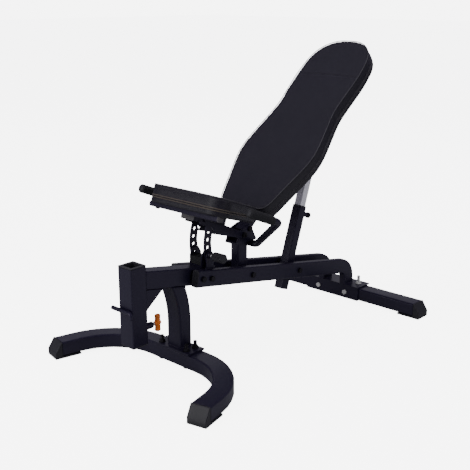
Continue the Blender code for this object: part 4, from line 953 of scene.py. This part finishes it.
def board_screws():
    """Screws that hold the boards: through the cross bar, and up the spine."""
    sunk = 0.0001
    bar = points_of("seat_cross_bar")
    under = farthest(bar, SEAT_OUT)[0]
    middle = (bar.min(axis=0) + bar.max(axis=0)) / 2
    for side, label in ((-0.115, "right"), (0.115, "left")):
        spot = middle + np.array((0, side, 0)) + SEAT_OUT * (under - sunk - middle @ SEAT_OUT)
        screw_head(f"cross_bar_screw_{label}", spot, -SEAT_OUT, "seat")
    spine = points_of("back_spine")
    under = farthest(spine, BACK_OUT)[0]
    foot, top = farthest(spine, BACK_ALONG)
    for k, share in enumerate((0.22, 0.50, 0.82, 0.94)):
        spot = BACK_ALONG * (foot + share * (top - foot)) + BACK_OUT * (under - sunk)
        screw_head(f"spine_screw_{k}", spot, -BACK_OUT, "back")


def tube_bushing():
    """A plastic collar at the outer support tube's mouth, close round the inner tube: a square
    ring with round edges, from nested square outlines."""
    axis = unit(frame_joint("support_extend")["axis"])
    loop, middle = end_loop("support_outer_tube", axis)
    loop = resampled(loop, 0.0012)
    rings = np.array(((0.99, 0.0003), (1.03, 0.0006), (1.04, 0.0020), (1.02, 0.0034),
                      (0.95, 0.0040), (0.88, 0.0038), (0.855, 0.0030), (0.855, 0.0003)))
    points = nested(loop, middle, axis, rings)
    rows, columns = points.shape[:2]
    shown("support_collar", points.reshape(-1, 3), grid_faces(rows, columns, loop=True),
          FINISH["black_plastic"], "support_outer", 50)


def frame_joint(name):
    return next(j for j in frame["joints"] if j["name"] == name)


def seat_webs():
    """Deep flanges of the seat's side plates under the rear of the seat tube: a flat shape in the
    plates' plane, from the tube's lower edge down to the brace, with a wall's thickness across."""
    along, out = SEAT_ALONG, SEAT_OUT
    tube = points_of("seat_frame_tube")
    under, rear = farthest(tube, out)[0], farthest(tube, along)[1]
    pivot = np.array(frame_joint("seat_tilt")["pos_m"])
    shape = [rear * along + (under + 0.004) * out, (rear - 0.115) * along + (under + 0.004) * out,
             (rear - 0.112) * along + (under - 0.006) * out,
             (rear - 0.060) * along + (under - 0.010) * out,
             (rear - 0.036) * along + (under - 0.024) * out,
             pivot - 0.012 * along - 0.004 * out, pivot + 0.010 * along + 0.006 * out]
    shape = np.array(shape)[:, (0, 2)]
    for label in ("left", "right"):
        low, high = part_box(f"seat_side_plate_{label}")
        inset = 0.0003
        levels = (low[1] + inset, high[1] - inset)
        rings = np.stack([np.column_stack((shape[:, 0], np.full(len(shape), y), shape[:, 1]))
                          for y in levels])
        points, faces = capped_rings(rings)
        shown(f"seat_web_{label}", points, faces, FINISH["black_powder_coat"], "seat",
              30)


# Stage, light and camera

def mixed_for_camera(tree, lighting, seen, output):
    """Shows one shader to the camera and lights the bench with another."""
    mix = tree.nodes.new("ShaderNodeMixShader")
    path = tree.nodes.new("ShaderNodeLightPath")
    tree.links.new(path.outputs["Is Camera Ray"], mix.inputs["Fac"])
    tree.links.new(lighting.outputs[0], mix.inputs[1])
    tree.links.new(seen.outputs[0], mix.inputs[2])
    tree.links.new(mix.outputs[0], tree.nodes[output].inputs["Surface"])


def floor_finish():
    """A matt white that glows for the camera and throws little light back up."""
    material = bpy.data.materials.new("pale_studio_floor")
    material.use_nodes = True
    tree = material.node_tree
    seen = tree.nodes["Principled BSDF"]
    seen.inputs["Base Color"].default_value = (0.93, 0.93, 0.93, 1)
    seen.inputs["Roughness"].default_value = 0.9
    seen.inputs["Specular IOR Level"].default_value = 0.0
    seen.inputs["Emission Color"].default_value = (1.0, 1.0, 1.0, 1)
    seen.inputs["Emission Strength"].default_value = FLOOR_GLOW
    dim = tree.nodes.new("ShaderNodeBsdfDiffuse")
    dim.inputs["Color"].default_value = (0.30, 0.30, 0.32, 1)
    mixed_for_camera(tree, dim, seen, "Material Output")
    return material


def stage():
    """A pale floor with faint shadows, and a surround that the camera sees white and that lights
    the bench with a dim violet grey."""
    reach, level = 30.0, -0.0005
    mesh = bpy.data.meshes.new("floor")
    mesh.from_pydata([(-reach, -reach, level), (reach, -reach, level), (reach, reach, level),
                      (-reach, reach, level)], [], [(0, 1, 2, 3)])
    mesh.materials.append(floor_finish())
    floor = linked("floor", mesh)
    world = bpy.data.worlds.new("studio")
    world.use_nodes = True
    tree = world.node_tree
    surround = tree.nodes["Background"]
    surround.inputs["Color"].default_value = (0.80, 0.75, 1.0, 1)
    surround.inputs["Strength"].default_value = SURROUND
    seen = tree.nodes.new("ShaderNodeBackground")
    seen.inputs["Color"].default_value = (1.0, 1.0, 1.0, 1)
    seen.inputs["Strength"].default_value = SKY_GLOW
    mixed_for_camera(tree, surround, seen, "World Output")
    bpy.context.scene.world = world


def softbox(name, place, size, radiance, mirrored=True):
    """An area light of an even radiance, aimed at the bench. mirrored says if gloss shows it."""
    light = bpy.data.lights.new(name, "AREA")
    light.shape = "RECTANGLE"
    light.size, light.size_y = size
    light.energy = radiance * math.pi * size[0] * size[1]
    lamp = linked(name, light)
    lamp.location = place
    bench_middle = Vector((0, 0, 0.4))
    aim = Vector(place) - bench_middle
    lamp.rotation_euler = aim.to_track_quat("Z", "Y").to_euler()
    lamp.visible_glossy = mirrored


def lights():
    """Broad fills that gloss doesn't show, and strips whose reflections draw the edges."""
    softbox("overhead_fill", (0.0, 0.0, 4.0), (4.0, 4.0), 2.6, False)
    softbox("left_fill", (-3.5, 0.4, 2.0), (2.5, 2.5), 2.4, False)
    softbox("right_fill", (0.2, -3.6, 2.0), (2.5, 2.5), 2.0, False)
    softbox("rear_glow", (3.4, 3.2, 1.7), (4.0, 1.6), 0.36)
    softbox("left_strip", (-3.2, 0.9, 1.2), (1.6, 2.4), 2.4)
    softbox("right_strip", (0.9, -3.2, 1.3), (1.2, 2.0), 0.8)


def camera():
    """The main view: from the front and left, a little above."""
    azimuth, elevation = math.radians(-47.4424), math.radians(16.3515)
    back = Vector((math.sin(azimuth) * math.cos(elevation), -math.cos(azimuth) * math.cos(elevation),
                   math.sin(elevation)))
    lens = bpy.data.cameras.new("camera")
    lens.lens = 62.97
    lens.sensor_width = 36
    eye = linked("camera", lens)
    eye.location = (-1.8581, -1.6547, 1.0620)
    eye.rotation_euler = back.to_track_quat("Z", "Y").to_euler()
    bpy.context.scene.camera = eye


camera()
upholster("seat", SEAT_ALONG, SEAT_OUT, voxel=0.004, most=0.006, lift=0.007, passes=6, seam=None)
upholster("back", BACK_ALONG, BACK_OUT, voxel=0.005, most=0.005, lift=0.0, passes=20, seam=0.56)
grips()
lock_knob()
front_pull()
welds()
plugs()
threads()
board_screws()
tube_bushing()
seat_webs()
NEW_SHAPES = {"seat_pad", "back_pad", "handle_grip_left", "handle_grip_right", "seat_lock_knob",
              "receiver_pin_handle"}
CAP_EDGE, PLAIN_EDGE = 0.003, 0.0007
for cad_node in sorted(set(NODES) - NEW_SHAPES):
    refined(cad_node, CAP_EDGE if "foot_cap" in cad_node else PLAIN_EDGE)
stage()
lights()
